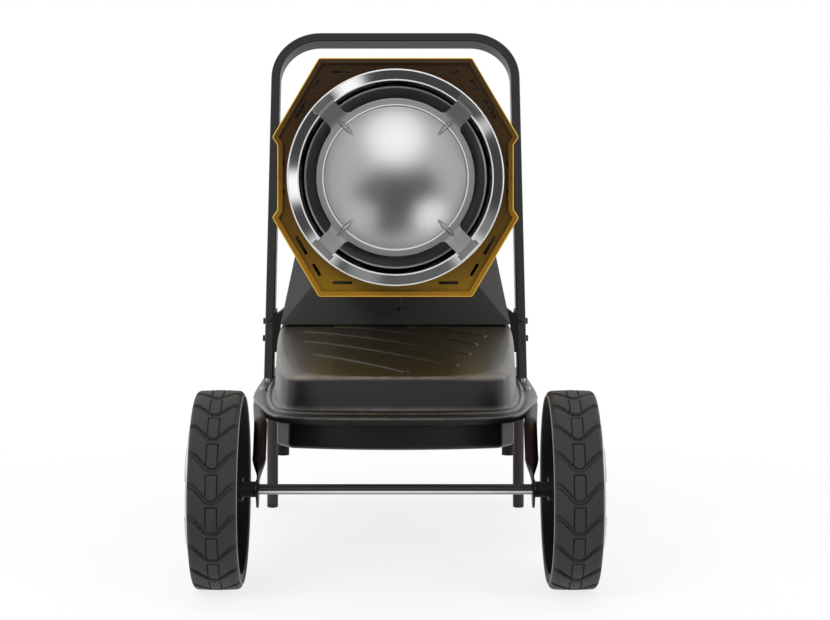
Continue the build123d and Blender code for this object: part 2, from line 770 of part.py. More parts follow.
FLANGE_SHAPE = arc_outline(
    FLANGE_FRONT_BACK, FLANGE_CORNER_X, FLANGE_CORNER_BACK, FLANGE_SIDE_X, FLANGE_SIDE_BACK,
    FLANGE_HALF_W, FLANGE_END_BACK, FLANGE_CORNER_R, FLANGE_CORNER_R,
)
CROWN_SHAPE = arc_outline(
    CROWN_FRONT_BACK, CROWN_CORNER_X, CROWN_CORNER_BACK, CROWN_SIDE_X, CROWN_SIDE_BACK,
    CROWN_HALF_W, CROWN_END_BACK, CROWN_FRONT_R, CROWN_CORNER_R,
)
PAN_SHAPE = arc_outline(
    PAN_FRONT_BACK, PAN_CORNER_X, PAN_CORNER_BACK, PAN_SIDE_X, PAN_SIDE_BACK,
    PAN_HALF_W, PAN_END_BACK, PAN_CORNER_R, PAN_CORNER_R,
)
BODY_HALF = (
    (BODY_FLAT_HALF, BODY_HALF_H),
    (BODY_KINK_X, BODY_KINK_Z),
    (BODY_RECESS_X, BODY_RECESS_Z),
    (BODY_RECESS_X, -BODY_RECESS_Z),
    (BODY_KINK_X, -BODY_KINK_Z),
    (BODY_FLAT_HALF, -BODY_HALF_H),
)
with BuildSketch() as body_outline:
    Polygon(*BODY_HALF, *[(-x, z) for x, z in reversed(BODY_HALF)], align=None)
    fillet(body_outline.vertices(), radius=BODY_CORNER_R)
BODY_SHAPE = body_outline.sketch
BODY_INNER = shrunk(BODY_SHAPE, SHELL_T)


# ================================================================== fuel tank
def on_fold(edge):
    """True for an edge that runs straight across the roof, at or beside its fold."""
    return edge.geom_type == GeomType.LINE and abs((edge @ 0.5).Y - CABINET_Y) < ROOF_FOLD_R / 4


def tank_crown(inset):
    """The raised top of the tank as a closed solid, shrunk all round by a sheet's thickness."""
    roof_top = ROOF_TOP_Z - inset / cos(ROOF_SLOPE)
    ahead_y = ROOF_FOOT_Y - 10 * CROWN_EDGE_R
    ahead_z = roof_top - (CABINET_Y - ahead_y) * tan(ROOF_SLOPE)
    far_y = at_y(FLANGE_END_BACK)
    over_z = ROOF_TOP_Z + BODY_Z
    with BuildPart() as crown:
        with BuildSketch(Plane.XY.offset(FLANGE_TOP_Z - TANK_T)):
            add(shrunk(CROWN_SHAPE, inset) if inset else CROWN_SHAPE)
        extrude(amount=ROOF_TOP_Z - FLANGE_TOP_Z + 10 * EPS, taper=CROWN_DRAFT)
        with BuildSketch(side_plane()) as over_roof:
            Polygon(
                (ahead_y, ahead_z),
                (CABINET_Y, roof_top),
                (far_y, roof_top),
                (far_y, over_z),
                (ahead_y, over_z),
                align=None,
            )
            fold = over_roof.vertices().sort_by_distance((CABINET_Y, roof_top, 0))[0]
            fillet(fold, radius=ROOF_FOLD_R)
        extrude(amount=2 * CROWN_HALF_W, both=True, mode=Mode.SUBTRACT)
        roofs = crown.faces().filter_by(lambda face: face.normal_at().Z > 0.9)
        edges = [edge for roof in roofs for edge in roof.edges() if not on_fold(edge)]
        fillet(edges, radius=CROWN_EDGE_R - inset)
    return crown.part


def tank_pan(inset):
    """The lower half of the tank as a closed solid, shrunk by a sheet's thickness."""
    with BuildPart() as pan:
        with BuildSketch(Plane.XY.offset(PAN_BOTTOM_Z + inset)):
            add(shrunk(PAN_SHAPE, inset) if inset else PAN_SHAPE)
        extrude(amount=FLANGE_TOP_Z - PAN_BOTTOM_Z - inset)
        fillet(pan.faces().sort_by(Axis.Z)[0].edges(), radius=PAN_EDGE_R - inset)
    return pan.part


def flange_bolt_spots():
    return [(side * rail_x(back), at_y(back)) for side in (-1, 1) for back in FLANGE_BOLT_BACK]


CROWN_OUTSIDE = tank_crown(0.0)
CROWN_INSIDE = tank_crown(TANK_T)
PAN_OUTSIDE = tank_pan(0.0)
PAN_INSIDE = tank_pan(TANK_T)
ROOF_PLANE = Plane(
    origin=(0, CABINET_Y, ROOF_TOP_Z),
    x_dir=(1, 0, 0),
    z_dir=(0, -sin(ROOF_SLOPE), cos(ROOF_SLOPE)),
)

with BuildPart() as tank_top:
    with BuildSketch(Plane.XY.offset(FLANGE_TOP_Z - TANK_T)):
        add(FLANGE_SHAPE)
    extrude(amount=TANK_T)
    with BuildSketch(Plane.XY.offset(FLANGE_TOP_Z - FLANGE_LIP)):
        add(FLANGE_SHAPE)
        add(shrunk(FLANGE_SHAPE, TANK_T), mode=Mode.SUBTRACT)
    extrude(amount=FLANGE_LIP)
    with BuildSketch(Plane.XY.offset(FLANGE_TOP_Z - TANK_T)):
        add(shrunk(FLANGE_SHAPE, FLANGE_STEP_IN))
    extrude(amount=FLANGE_STEP_H + TANK_T)
    with BuildSketch(Plane.XY.offset(FLANGE_TOP_Z - 2 * TANK_T)):
        add(shrunk(FLANGE_SHAPE, FLANGE_STEP_IN + TANK_T))
    extrude(amount=FLANGE_STEP_H + TANK_T, mode=Mode.SUBTRACT)
    add(CROWN_OUTSIDE)
    add(CROWN_INSIDE, mode=Mode.SUBTRACT)
    for rib in ROOF_RIBS:
        points = [(x, (back - CABINET_FRONT_BACK) / cos(ROOF_SLOPE)) for x, back in rib]
        with BuildSketch(ROOF_PLANE):
            with BuildLine():
                ThreePointArc(*points)
            trace(line_width=RIB_W)
        extrude(amount=RIB_H)
    with BuildSketch(Plane.XY.offset(FLANGE_TOP_Z - TANK_T)):
        with Locations(*flange_bolt_spots()):
            Circle(FLANGE_BOLT_R + HOLE_CLEAR)
        with Locations((FILLER_X, at_y(FILLER_BACK))):
            Circle(NECK_R - NECK_T)
        with Locations((PICKUP_X, at_y(PICKUP_BACK))):
            Circle(PICKUP_FILTER_R + FIT)
    extrude(amount=ROOF_TOP_Z, mode=Mode.SUBTRACT)
    with BuildSketch(Plane.XY.offset(FLANGE_UNDER_Z)):
        for side in (-1, 1):
            with BuildLine():
                Line((side * FRONT_LEG_X, RAIL_START_Y), (side * RAIL_X, at_y(RAIL_BACK)))
            trace(line_width=TUBE_DIA + 2 * FIT)
    extrude(amount=-2 * FLANGE_LIP, mode=Mode.SUBTRACT)
save(tank_top, "tank_top")

with BuildPart() as tank_bottom:
    add(PAN_OUTSIDE)
    with Locations((0, 0, (FLANGE_UNDER_Z + FLANGE_TOP_Z) / 2 + TANK_T / 2)):
        Box(2 * TYRE_OUT_X, 3 * BODY_LEN, FLANGE_TOP_Z - FLANGE_UNDER_Z - TANK_T, mode=Mode.SUBTRACT)
    with BuildSketch(Plane.XY.offset(FLANGE_UNDER_Z)):
        add(shrunk(FLANGE_SHAPE, TANK_T + FIT))
    extrude(amount=TANK_T)
    add(PAN_INSIDE, mode=Mode.SUBTRACT)
    with BuildSketch(Plane.XY.offset(FLANGE_UNDER_Z)):
        with Locations(*flange_bolt_spots()):
            Circle(FLANGE_BOLT_R + HOLE_CLEAR)
    extrude(amount=2 * TANK_T, mode=Mode.SUBTRACT)
    rod_z(PAN_BOTTOM_Z, PAN_BOTTOM_Z + 2 * TANK_T, 0, at_y(DRAIN_BACK), DRAIN_R / 2, Mode.SUBTRACT)
save(tank_bottom, "tank_bottom")

with BuildPart() as flange_bolts:
    for x, y in flange_bolt_spots():
        rod_z(RAIL_Z, FLANGE_TOP_Z, x, y, FLANGE_BOLT_R)
        with BuildSketch(Plane.XY.offset(FLANGE_TOP_Z)):
            with Locations((x, y)):
                RegularPolygon(FLANGE_BOLT_HEAD_R, 6)
        extrude(amount=FLANGE_BOLT_HEAD_T)
save(flange_bolts, "flange_bolts")

with BuildPart() as tank_studs:
    for side in (-1, 1):
        rod_z(PAN_BOTTOM_Z - STUB_H, PAN_BOTTOM_Z, side * STUB_X, at_y(STUB_BACK), STUB_R)
save(tank_studs, "tank_studs")

with BuildPart() as drain_plug:
    with BuildSketch(Plane.XY.offset(PAN_BOTTOM_Z)):
        with Locations((0, at_y(DRAIN_BACK))):
            RegularPolygon(DRAIN_R, 6)
    extrude(amount=-DRAIN_H)
    rod_z(PAN_BOTTOM_Z, PAN_BOTTOM_Z + 3 * TANK_T, 0, at_y(DRAIN_BACK), DRAIN_R / 2)
save(drain_plug, "drain_plug")

FILLER_Y = at_y(FILLER_BACK)
NECK_TOP_Z = ROOF_TOP_Z + NECK_H
with BuildPart() as filler_neck:
    rod_z(ROOF_TOP_Z, NECK_TOP_Z, FILLER_X, FILLER_Y, NECK_R)
    rod_z(ROOF_TOP_Z, ROOF_TOP_Z + NECK_FLANGE_T, FILLER_X, FILLER_Y, NECK_FLANGE_R)
    rod_z(ROOF_TOP_Z, NECK_TOP_Z, FILLER_X, FILLER_Y, NECK_R - NECK_T, Mode.SUBTRACT)
save(filler_neck, "filler_neck")

STRAINER_R = NECK_R - NECK_T - FIT
with BuildPart() as filler_strainer:
    rod_z(NECK_TOP_Z, NECK_TOP_Z + STRAINER_T, FILLER_X, FILLER_Y, NECK_R)
    rod_z(NECK_TOP_Z - STRAINER_DEPTH, NECK_TOP_Z, FILLER_X, FILLER_Y, STRAINER_R)
    rod_z(
        NECK_TOP_Z - STRAINER_DEPTH + STRAINER_T, NECK_TOP_Z + STRAINER_T,
        FILLER_X, FILLER_Y, STRAINER_R - STRAINER_T, Mode.SUBTRACT,
    )
save(filler_strainer, "filler_strainer")

SEAL_Z = NECK_TOP_Z + STRAINER_T + RUN_CLEAR
CAP_BORE_R = NECK_R + RUN_CLEAR
CAP_CEILING_Z = SEAL_Z + SEAL_T
with BuildPart() as fuel_cap:
    rod_z(CAP_CEILING_Z - CAP_SKIRT, CAP_CEILING_Z + CAP_TOP_T, FILLER_X, FILLER_Y, CAP_R)
    fillet(fuel_cap.edges().group_by(Axis.Z)[-1], radius=2.0)
    rod_z(CAP_CEILING_Z - CAP_SKIRT, CAP_CEILING_Z, FILLER_X, FILLER_Y, CAP_BORE_R, Mode.SUBTRACT)
    with BuildSketch(Plane.XY.offset(CAP_CEILING_Z - CAP_SKIRT)):
        with Locations((FILLER_X, FILLER_Y)):
            with PolarLocations(CAP_R + 1.0, CAP_FLUTES):
                Circle(2.6)
    extrude(amount=2 * CAP_SKIRT, mode=Mode.SUBTRACT)
    rod_z(SEAL_Z, CAP_CEILING_Z, FILLER_X, FILLER_Y, CAP_BORE_R)
    rod_z(SEAL_Z, CAP_CEILING_Z, FILLER_X, FILLER_Y, NECK_R - 3 * NECK_T, Mode.SUBTRACT)
save(fuel_cap, "fuel_cap")

with BuildPart() as fuel_gauge:
    rod_z(ROOF_TOP_Z, ROOF_TOP_Z + GAUGE_H, GAUGE_X, FILLER_Y, GAUGE_R)
    rod_z(ROOF_TOP_Z + GAUGE_WALL, ROOF_TOP_Z + GAUGE_H, GAUGE_X, FILLER_Y, GAUGE_R - GAUGE_WALL, Mode.SUBTRACT)
    rod_z(ROOF_TOP_Z + GAUGE_WALL, ROOF_TOP_Z + GAUGE_H - GAUGE_WALL, GAUGE_X, FILLER_Y, GAUGE_WALL)
    needle_x = (GAUGE_X, GAUGE_X + GAUGE_R * 0.7)
    needle_z = (ROOF_TOP_Z + GAUGE_H / 2 - 0.5, ROOF_TOP_Z + GAUGE_H / 2 + 0.5)
    block(needle_x, (FILLER_Y - 1, FILLER_Y + 1), needle_z)
save(fuel_gauge, "fuel_gauge")

with BuildPart() as gauge_lens:
    rod_z(ROOF_TOP_Z + GAUGE_H - GAUGE_WALL, ROOF_TOP_Z + GAUGE_H, GAUGE_X, FILLER_Y, GAUGE_R - GAUGE_WALL)
save(gauge_lens, "gauge_lens")

PICKUP_Y = at_y(PICKUP_BACK)
PICKUP_TOP_Z = LINE_TURN_Z + LINE_R
PICKUP_FOOT_Z = PAN_BOTTOM_Z + TANK_T + PICKUP_FLOOR_GAP
with BuildPart() as fuel_pickup:
    rod_z(PICKUP_FOOT_Z, PICKUP_FOOT_Z + PICKUP_FILTER_H, PICKUP_X, PICKUP_Y, PICKUP_FILTER_R)
    fillet(fuel_pickup.edges().filter_by(GeomType.CIRCLE), radius=2.0)
    rod_z(PICKUP_FOOT_Z + PICKUP_FILTER_H - EPS, PICKUP_TOP_Z, PICKUP_X, PICKUP_Y, PICKUP_PIPE_R)
    rod_z(ROOF_TOP_Z, ROOF_TOP_Z + PICKUP_FLANGE_T, PICKUP_X, PICKUP_Y, PICKUP_FLANGE_R)
save(fuel_pickup, "fuel_pickup")


# ================================================================== heater housing
def build_shell(side, name):
    keep = Keep.TOP if side > 0 else Keep.BOTTOM
    wall_x = BODY_RECESS_X - SHELL_T
    with BuildPart() as shell:
        with BuildSketch(facing(BODY_FRONT_Y, BODY_Z)):
            add(BODY_SHAPE)
            add(BODY_INNER, mode=Mode.SUBTRACT)
        extrude(amount=-BODY_LEN)
        with BuildSketch(facing(BODY_FRONT_Y, BODY_Z)):
            add(BODY_INNER)
            add(shrunk(BODY_SHAPE, SHELL_LIP), mode=Mode.SUBTRACT)
        extrude(amount=-SHELL_T)
        front = shell.faces().sort_by(Axis.Y)[0]
        fillet(front.outer_wire().edges(), radius=SHELL_EDGE_R)
        split(bisect_by=Plane.XY.offset(BODY_Z + side * SEAM_GAP / 2), keep=keep)
        if side < 0:
            for hand in (-1, 1):
                for y0, y1 in STRIP_RUNS:
                    xs = (hand * (wall_x - STRIP_T), hand * wall_x)
                    block(xs, (y0, y1), (BODY_Z - STRIP_HALF_H, BODY_Z + STRIP_HALF_H))
            rod_z(FLOOR_Z - 2 * SHELL_T, FLOOR_Z + SHELL_T, PICKUP_X, LINE_Y, LINE_R + FIT, Mode.SUBTRACT)
        for rise in (-SCREW_RISE, SCREW_RISE):
            for screw_y in SCREW_YS:
                rod_x(
                    -BODY_KINK_X, BODY_KINK_X, screw_y, BODY_Z + rise,
                    SCREW_R + HOLE_CLEAR, Mode.SUBTRACT,
                )
    save(shell, name)


LINE_Y = BODY_REAR_Y - LINE_FROM_REAR
GUARD_Y = BODY_REAR_Y - 2 * GUARD_T
STRIP_RUNS = (
    (PANEL_Y + PANEL_RIM + FIT, SHROUD_Y - FIT),
    (SHROUD_Y + SHROUD_T + FIT, GUARD_Y - FIT),
)
build_shell(1, "upper_shell")
build_shell(-1, "lower_shell")

with BuildPart() as shell_screws:
    for side in (-1, 1):
        for rise in (-SCREW_RISE, SCREW_RISE):
            for screw_y in SCREW_YS:
                spot = (screw_y, BODY_Z + rise)
                out_x = side * (BODY_RECESS_X + SCREW_HEAD_T)
                rod_x(side * BODY_RECESS_X, out_x, *spot, SCREW_HEAD_R)
                rod_x(side * (BODY_RECESS_X - SCREW_LEN), side * BODY_RECESS_X, *spot, SCREW_R)
save(shell_screws, "shell_screws")

SLANT = degrees(atan2(BODY_HALF_H - BODY_KINK_Z, BODY_KINK_X - BODY_FLAT_HALF))
with BuildPart() as front_panel:
    with BuildSketch(facing(PANEL_Y, BODY_Z)):
        add(BODY_INNER)
    extrude(amount=-PANEL_RIM)
    with BuildSketch(facing(PANEL_REAR_Y, BODY_Z)):
        add(shrunk(BODY_INNER, PANEL_T))
    extrude(amount=-PANEL_RIM, mode=Mode.SUBTRACT)
    with BuildSketch(facing(PANEL_Y, BODY_Z)):
        Circle(NECK_IN_R + OUTLET_T)
        for side in (-1, 1):
            for rise in (-1, 1):
                for x, z, length in SLOTS_FLAT:
                    with Locations((side * x, rise * z)):
                        SlotOverall(length, SLOT_W)
                for x, z, length in SLOTS_SLANT:
                    with Locations(Location((side * x, rise * z, 0), (0, 0, -side * rise * SLANT))):
                        SlotOverall(length, SLOT_W)
                with Locations((side * NOTCH_X, rise * NOTCH_Z)):
                    Rectangle(NOTCH_W, NOTCH_H)
    extrude(amount=-PANEL_T, mode=Mode.SUBTRACT)
save(front_panel, "front_panel")

with BuildPart() as rear_guard:
    with BuildSketch(facing(GUARD_Y, BODY_Z)):
        add(BODY_INNER)
        Circle(GUARD_R, mode=Mode.SUBTRACT)
        for ring in range(GUARD_RINGS, 0, -1):
            ring_r = GUARD_R * ring / (GUARD_RINGS + 1)
            Circle(ring_r + GUARD_WIRE / 2)
            Circle(ring_r - GUARD_WIRE / 2, mode=Mode.SUBTRACT)
        inner_r = GUARD_R / (GUARD_RINGS + 1)
        with PolarLocations((GUARD_R + inner_r) / 2, GUARD_BARS):
            Rectangle(GUARD_R - inner_r, GUARD_WIRE)
    extrude(amount=-GUARD_T)
save(rear_guard, "rear_guard")

# ================================================================== outlet and burner
BEND_Y = BODY_FRONT_Y - OUTLET_BEND_AHEAD
LIP_Y = BEND_Y - OUTLET_RUN
NECK_REAR_Y = BEND_Y + OUTLET_NECK_LEN
FLARE_NORMAL_R = OUTLET_RUN / (OUTLET_RUN ** 2 + OUTLET_FLARE ** 2) ** 0.5
FLARE_NORMAL_Y = OUTLET_FLARE / (OUTLET_RUN ** 2 + OUTLET_FLARE ** 2) ** 0.5
SECTION = Plane(origin=(0, 0, BODY_Z), x_dir=(0, 1, 0), z_dir=(1, 0, 0))


def flare_r(y):
    """Inner radius of the flared outlet at a place along the heater."""
    return NECK_IN_R + (BEND_Y - y) * OUTLET_FLARE / OUTLET_RUN


with BuildPart() as outlet_ring:
    lip_r = NECK_IN_R + OUTLET_FLARE
    with BuildSketch(SECTION):
        Polygon(
            (NECK_REAR_Y, NECK_IN_R),
            (BEND_Y, NECK_IN_R),
            (LIP_Y, lip_r),
            (LIP_Y + OUTLET_T * FLARE_NORMAL_Y, lip_r + OUTLET_T * FLARE_NORMAL_R),
            (BEND_Y + OUTLET_T * FLARE_NORMAL_Y / 2, NECK_IN_R + OUTLET_T),
            (NECK_REAR_Y, NECK_IN_R + OUTLET_T),
            align=None,
        )
        with Locations((LIP_Y + OUTLET_T * FLARE_NORMAL_Y / 2, lip_r + OUTLET_T / 2)):
            Circle(OUTLET_ROLL_R)
    revolve(axis=BODY_AXIS)
save(outlet_ring, "outlet_ring")

ARM_Y = BODY_FRONT_Y - ARM_AHEAD
with BuildPart() as flame_diffuser:
    tip_y = BEND_Y - (ARM_R - NECK_IN_R) * OUTLET_RUN / OUTLET_FLARE
    fold_y = ARM_Y + DISC_T * FLARE_NORMAL_Y
    fold_r = flare_r(fold_y) - DISC_T * FLARE_NORMAL_R
    with BuildSketch(SECTION):
        with BuildLine():
            ThreePointArc(
                (ARM_Y - DISC_DOME, 0),
                (ARM_Y - DISC_DOME * 0.72, DISC_STEP_R / 2),
                (ARM_Y + DISC_STEP, DISC_STEP_R - DISC_T),
            )
            Polyline(
                (ARM_Y + DISC_STEP, DISC_STEP_R - DISC_T),
                (ARM_Y, DISC_STEP_R),
                (ARM_Y, fold_r),
                (tip_y - DISC_T * FLARE_NORMAL_Y, ARM_R - DISC_T * FLARE_NORMAL_R),
                (tip_y, ARM_R),
                (ARM_Y + DISC_T, flare_r(ARM_Y + DISC_T)),
                (ARM_Y + DISC_T, DISC_STEP_R + DISC_T),
                (ARM_Y + DISC_STEP + DISC_T, DISC_STEP_R),
            )
            ThreePointArc(
                (ARM_Y + DISC_STEP + DISC_T, DISC_STEP_R),
                (ARM_Y - DISC_DOME * 0.72 + DISC_T, DISC_STEP_R / 2),
                (ARM_Y - DISC_DOME + DISC_T, 0),
            )
            Line((ARM_Y - DISC_DOME + DISC_T, 0), (ARM_Y - DISC_DOME, 0))
        make_face()
    revolve(axis=BODY_AXIS)
    with BuildSketch(facing(ARM_Y + 2 * DISC_DOME, BODY_Z)) as mask:
        with PolarLocations(0, ARM_COUNT, start_angle=45):
            with Locations((ARM_R / 2, 0)):
                Rectangle(ARM_R, ARM_W)
            with Locations((ARM_R - 4, 0)):
                Rectangle(10, ARM_W + 6)
        Circle(DISC_R)
        roots = [v for v in mask.vertices() if abs((v.X ** 2 + v.Y ** 2) ** 0.5 - DISC_R) < 2.0]
        fillet(roots, radius=ARM_ROOT_R)
    extrude(amount=4 * DISC_DOME, mode=Mode.INTERSECT)
    with BuildSketch(facing(ARM_Y + DISC_T, BODY_Z)):
        Circle(DISC_R)
        Circle(DISC_R - DISC_T, mode=Mode.SUBTRACT)
    extrude(amount=-DISC_RETURN)
    gusset_mid = (GUSSET_IN_R + GUSSET_OUT_R) / 2
    with BuildSketch(facing(ARM_Y + DISC_T, BODY_Z)):
        with PolarLocations(gusset_mid, ARM_COUNT, start_angle=45):
            Rectangle(GUSSET_OUT_R - GUSSET_IN_R, GUSSET_T)
    extrude(amount=GUSSET_H + DISC_T)
save(flame_diffuser, "flame_diffuser")

CHAMBER_FRONT_Y = at_y(CHAMBER_FRONT_BACK)
CHAMBER_REAR_Y = BODY_REAR_Y - CHAMBER_FROM_REAR
CHAMBER_IN_R = CHAMBER_R - CHAMBER_T
with BuildPart() as combustion_chamber:
    with BuildSketch(SECTION):
        with Locations(((CHAMBER_FRONT_Y + CHAMBER_REAR_Y) / 2, CHAMBER_R - CHAMBER_T / 2)):
            Rectangle(CHAMBER_REAR_Y - CHAMBER_FRONT_Y, CHAMBER_T)
        with Locations((CHAMBER_FRONT_Y, CHAMBER_R)):
            Circle(CHAMBER_BEAD_R)
    revolve(axis=BODY_AXIS)
    for spacer_y in (at_y(SPACER_BACK), BODY_REAR_Y - SPACER_FROM_REAR):
        with BuildSketch(facing(spacer_y, BODY_Z)):
            with PolarLocations((CHAMBER_R + SHIELD_IN_R) / 2, ARM_COUNT, start_angle=45):
                Rectangle(SHIELD_IN_R - CHAMBER_R + 4, SPACER_W)
            Circle(CHAMBER_R - CHAMBER_T / 2, mode=Mode.SUBTRACT)
            with BuildSketch(mode=Mode.INTERSECT):
                Circle(SHIELD_IN_R)
        extrude(amount=-SPACER_LEN)
save(combustion_chamber, "combustion_chamber")

SHIELD_END_Y = BODY_REAR_Y - SHIELD_FROM_REAR
SHIELD_MID_R = SHIELD_IN_R + SHIELD_T / 2
with BuildPart() as heat_shield:
    for saddle_y in (at_y(SADDLE_BACK), BODY_REAR_Y - SADDLE_FROM_REAR):
        saddle_z = (FLOOR_Z, BODY_Z - SHIELD_IN_R / 2)
        block((-SADDLE_W / 2, SADDLE_W / 2), (saddle_y, saddle_y + SADDLE_T), saddle_z)
    rod_y(PANEL_REAR_Y, SHIELD_END_Y, 0, BODY_Z, SHIELD_MID_R, Mode.SUBTRACT)
    with BuildSketch(SECTION):
        with Locations(((PANEL_REAR_Y + SHIELD_END_Y) / 2, SHIELD_MID_R)):
            Rectangle(SHIELD_END_Y - PANEL_REAR_Y, SHIELD_T)
    revolve(axis=BODY_AXIS)
save(heat_shield, "heat_shield")

HEAD_Y = BODY_REAR_Y - HEAD_FROM_REAR
HEAD_REAR_Y = HEAD_Y + HEAD_T
PHOTOCELL_Z = BODY_Z + PHOTOCELL_RISE
with BuildPart() as burner_head:
    with BuildSketch(facing(HEAD_Y, BODY_Z)):
        Circle(CHAMBER_IN_R)
        Circle(NOZZLE_R, mode=Mode.SUBTRACT)
        with PolarLocations(CHAMBER_IN_R * 0.74, HEAD_SLOTS):
            SlotOverall(CHAMBER_IN_R * 0.3, 9.0, rotation=35, mode=Mode.SUBTRACT)
        with Locations((-ELECTRODE_X, 0), (ELECTRODE_X, 0)):
            Circle(ELECTRODE_R, mode=Mode.SUBTRACT)
        with Locations((0, PHOTOCELL_RISE)):
            Circle(PHOTOCELL_R, mode=Mode.SUBTRACT)
    extrude(amount=-HEAD_T)
save(burner_head, "burner_head")

NOZZLE_REAR_Y = HEAD_REAR_Y + NOZZLE_BEHIND
NOZZLE_FRONT_Y = HEAD_Y - NOZZLE_AHEAD
with BuildPart() as fuel_nozzle:
    rod_y(NOZZLE_FRONT_Y, NOZZLE_REAR_Y, 0, BODY_Z, NOZZLE_R)
    chamfer(fuel_nozzle.edges().filter_by(GeomType.CIRCLE).group_by(Axis.Y)[0], length=5.0)
    rod_y(NOZZLE_FRONT_Y - NOZZLE_TIP_R, NOZZLE_FRONT_Y, 0, BODY_Z, NOZZLE_TIP_R)
    rod_y(HEAD_REAR_Y, HEAD_REAR_Y + HEAD_T, 0, BODY_Z, NOZZLE_FLANGE_R)
save(fuel_nozzle, "fuel_nozzle")

with BuildPart() as spark_electrodes:
    for side in (-1, 1):
        x = side * ELECTRODE_X
        rod_y(HEAD_Y - NOZZLE_AHEAD, HEAD_REAR_Y + NOZZLE_AHEAD, x, BODY_Z, ELECTRODE_R)
        with BuildLine():
            Polyline(
                (x, HEAD_Y - NOZZLE_AHEAD + EPS, BODY_Z),
                (x, HEAD_Y - 1.6 * NOZZLE_AHEAD, BODY_Z),
                (side * ELECTRODE_R, HEAD_Y - 2.2 * NOZZLE_AHEAD, BODY_Z),
            )
        with BuildSketch(facing(HEAD_Y - NOZZLE_AHEAD + EPS, BODY_Z)):
            with Locations((x, 0)):
                Circle(ELECTRODE_TIP_R)
        sweep(transition=Transition.ROUND)
save(spark_electrodes, "spark_electrodes")

with BuildPart() as photocell:
    rod_y(HEAD_Y, HEAD_Y + PHOTOCELL_LEN, 0, PHOTOCELL_Z, PHOTOCELL_R)
    rod_y(HEAD_REAR_Y, HEAD_REAR_Y + HEAD_T, 0, PHOTOCELL_Z, PHOTOCELL_R + 3.0)
    rod_y(HEAD_Y, HEAD_Y + PHOTOCELL_R, 0, PHOTOCELL_Z, PHOTOCELL_R / 2, Mode.SUBTRACT)
save(photocell, "photocell")

# ================================================================== fan, motor and pump
with BuildPart() as fan_shroud:
    with BuildSketch(facing(SHROUD_Y, BODY_Z)):
        add(BODY_INNER)
    extrude(amount=-SHROUD_T)
    rod_y(SHROUD_Y, SHROUD_Y + SHROUD_RING_LEN, 0, BODY_Z, SHROUD_R + SHROUD_T)
    rod_y(SHROUD_Y, SHROUD_Y + SHROUD_RING_LEN, 0, BODY_Z, SHROUD_R, Mode.SUBTRACT)
save(fan_shroud, "fan_shroud")

FAN_Y = BODY_REAR_Y - FAN_FROM_REAR
FAN_FRONT_Y = FAN_Y - FAN_HUB_LEN / 2
FAN_REAR_Y = FAN_Y + FAN_HUB_LEN / 2
FAN_R = SHROUD_R - FAN_TIP_CLEAR
SPAN = (FAN_HUB_R * 0.7, FAN_R + 2 * EPS)
with BuildPart() as blade:
    for place, chord in zip(SPAN, (FAN_CHORD_ROOT, FAN_CHORD_TIP)):
        twist = FAN_PITCH + (10.0 if chord == FAN_CHORD_ROOT else 0.0)
        with BuildSketch(Plane(origin=(0, FAN_Y, BODY_Z + place), x_dir=(1, 0, 0), z_dir=(0, 0, 1))):
            Rectangle(chord, FAN_BLADE_T, rotation=twist)
    loft(ruled=True)
with BuildPart() as fan_blades:
    for turn in range(FAN_BLADES):
        add(blade.part.rotate(BODY_AXIS, 360.0 * turn / FAN_BLADES))
    rod_y(FAN_Y - 2 * FAN_HUB_LEN, FAN_Y + 2 * FAN_HUB_LEN, 0, BODY_Z, FAN_R, Mode.INTERSECT)
    rod_y(FAN_FRONT_Y, FAN_REAR_Y, 0, BODY_Z, FAN_HUB_R)
    rod_y(FAN_FRONT_Y, FAN_REAR_Y, 0, BODY_Z, SHAFT_R, Mode.SUBTRACT)
save(fan_blades, "fan_blades")

MOTOR_Y = BODY_REAR_Y - MOTOR_FROM_REAR
MOTOR_REAR_Y = MOTOR_Y + MOTOR_LEN
BELL_REAR_Y = MOTOR_REAR_Y + BELL_LEN
PUMP_REAR_Y = BELL_REAR_Y + PUMP_LEN
COVER_REAR_Y = PUMP_REAR_Y + PUMP_COVER_T
SHAFT_FRONT_Y = FAN_FRONT_Y - SHAFT_NOSE
SHAFT_REAR_Y = PUMP_REAR_Y - AXIAL_CLEAR
with BuildPart() as fan_motor:
    rod_y(MOTOR_Y, MOTOR_REAR_Y, 0, BODY_Z, MOTOR_R)
    fillet(fan_motor.edges().filter_by(GeomType.CIRCLE), radius=4.0)
    rod_y(MOTOR_Y - BELL_LEN, BELL_REAR_Y, 0, BODY_Z, BELL_R)
    rod_y(MOTOR_Y - BELL_LEN, BELL_REAR_Y, 0, BODY_Z, SHAFT_R + RUN_CLEAR, Mode.SUBTRACT)
save(fan_motor, "fan_motor")

with BuildPart() as motor_shaft:
    rod_y(SHAFT_FRONT_Y, SHAFT_REAR_Y, 0, BODY_Z, SHAFT_R)
    chamfer(motor_shaft.edges().filter_by(GeomType.CIRCLE), length=0.8)
save(motor_shaft, "motor_shaft")

with BuildPart() as motor_mount:
    mount_ys = (MOTOR_Y + 10 * EPS, MOTOR_REAR_Y - 10 * EPS)
    block((-MOUNT_HALF_W, MOUNT_HALF_W), mount_ys, (FLOOR_Z, FLOOR_Z + MOUNT_T))
    for y in (mount_ys[0], mount_ys[1] - MOUNT_T):
        block((-MOUNT_HALF_W, MOUNT_HALF_W), (y, y + MOUNT_T), (FLOOR_Z, BODY_Z - MOTOR_R / 3))
    rod_y(MOTOR_Y, MOTOR_REAR_Y, 0, BODY_Z, MOTOR_R, Mode.SUBTRACT)
save(motor_mount, "motor_mount")

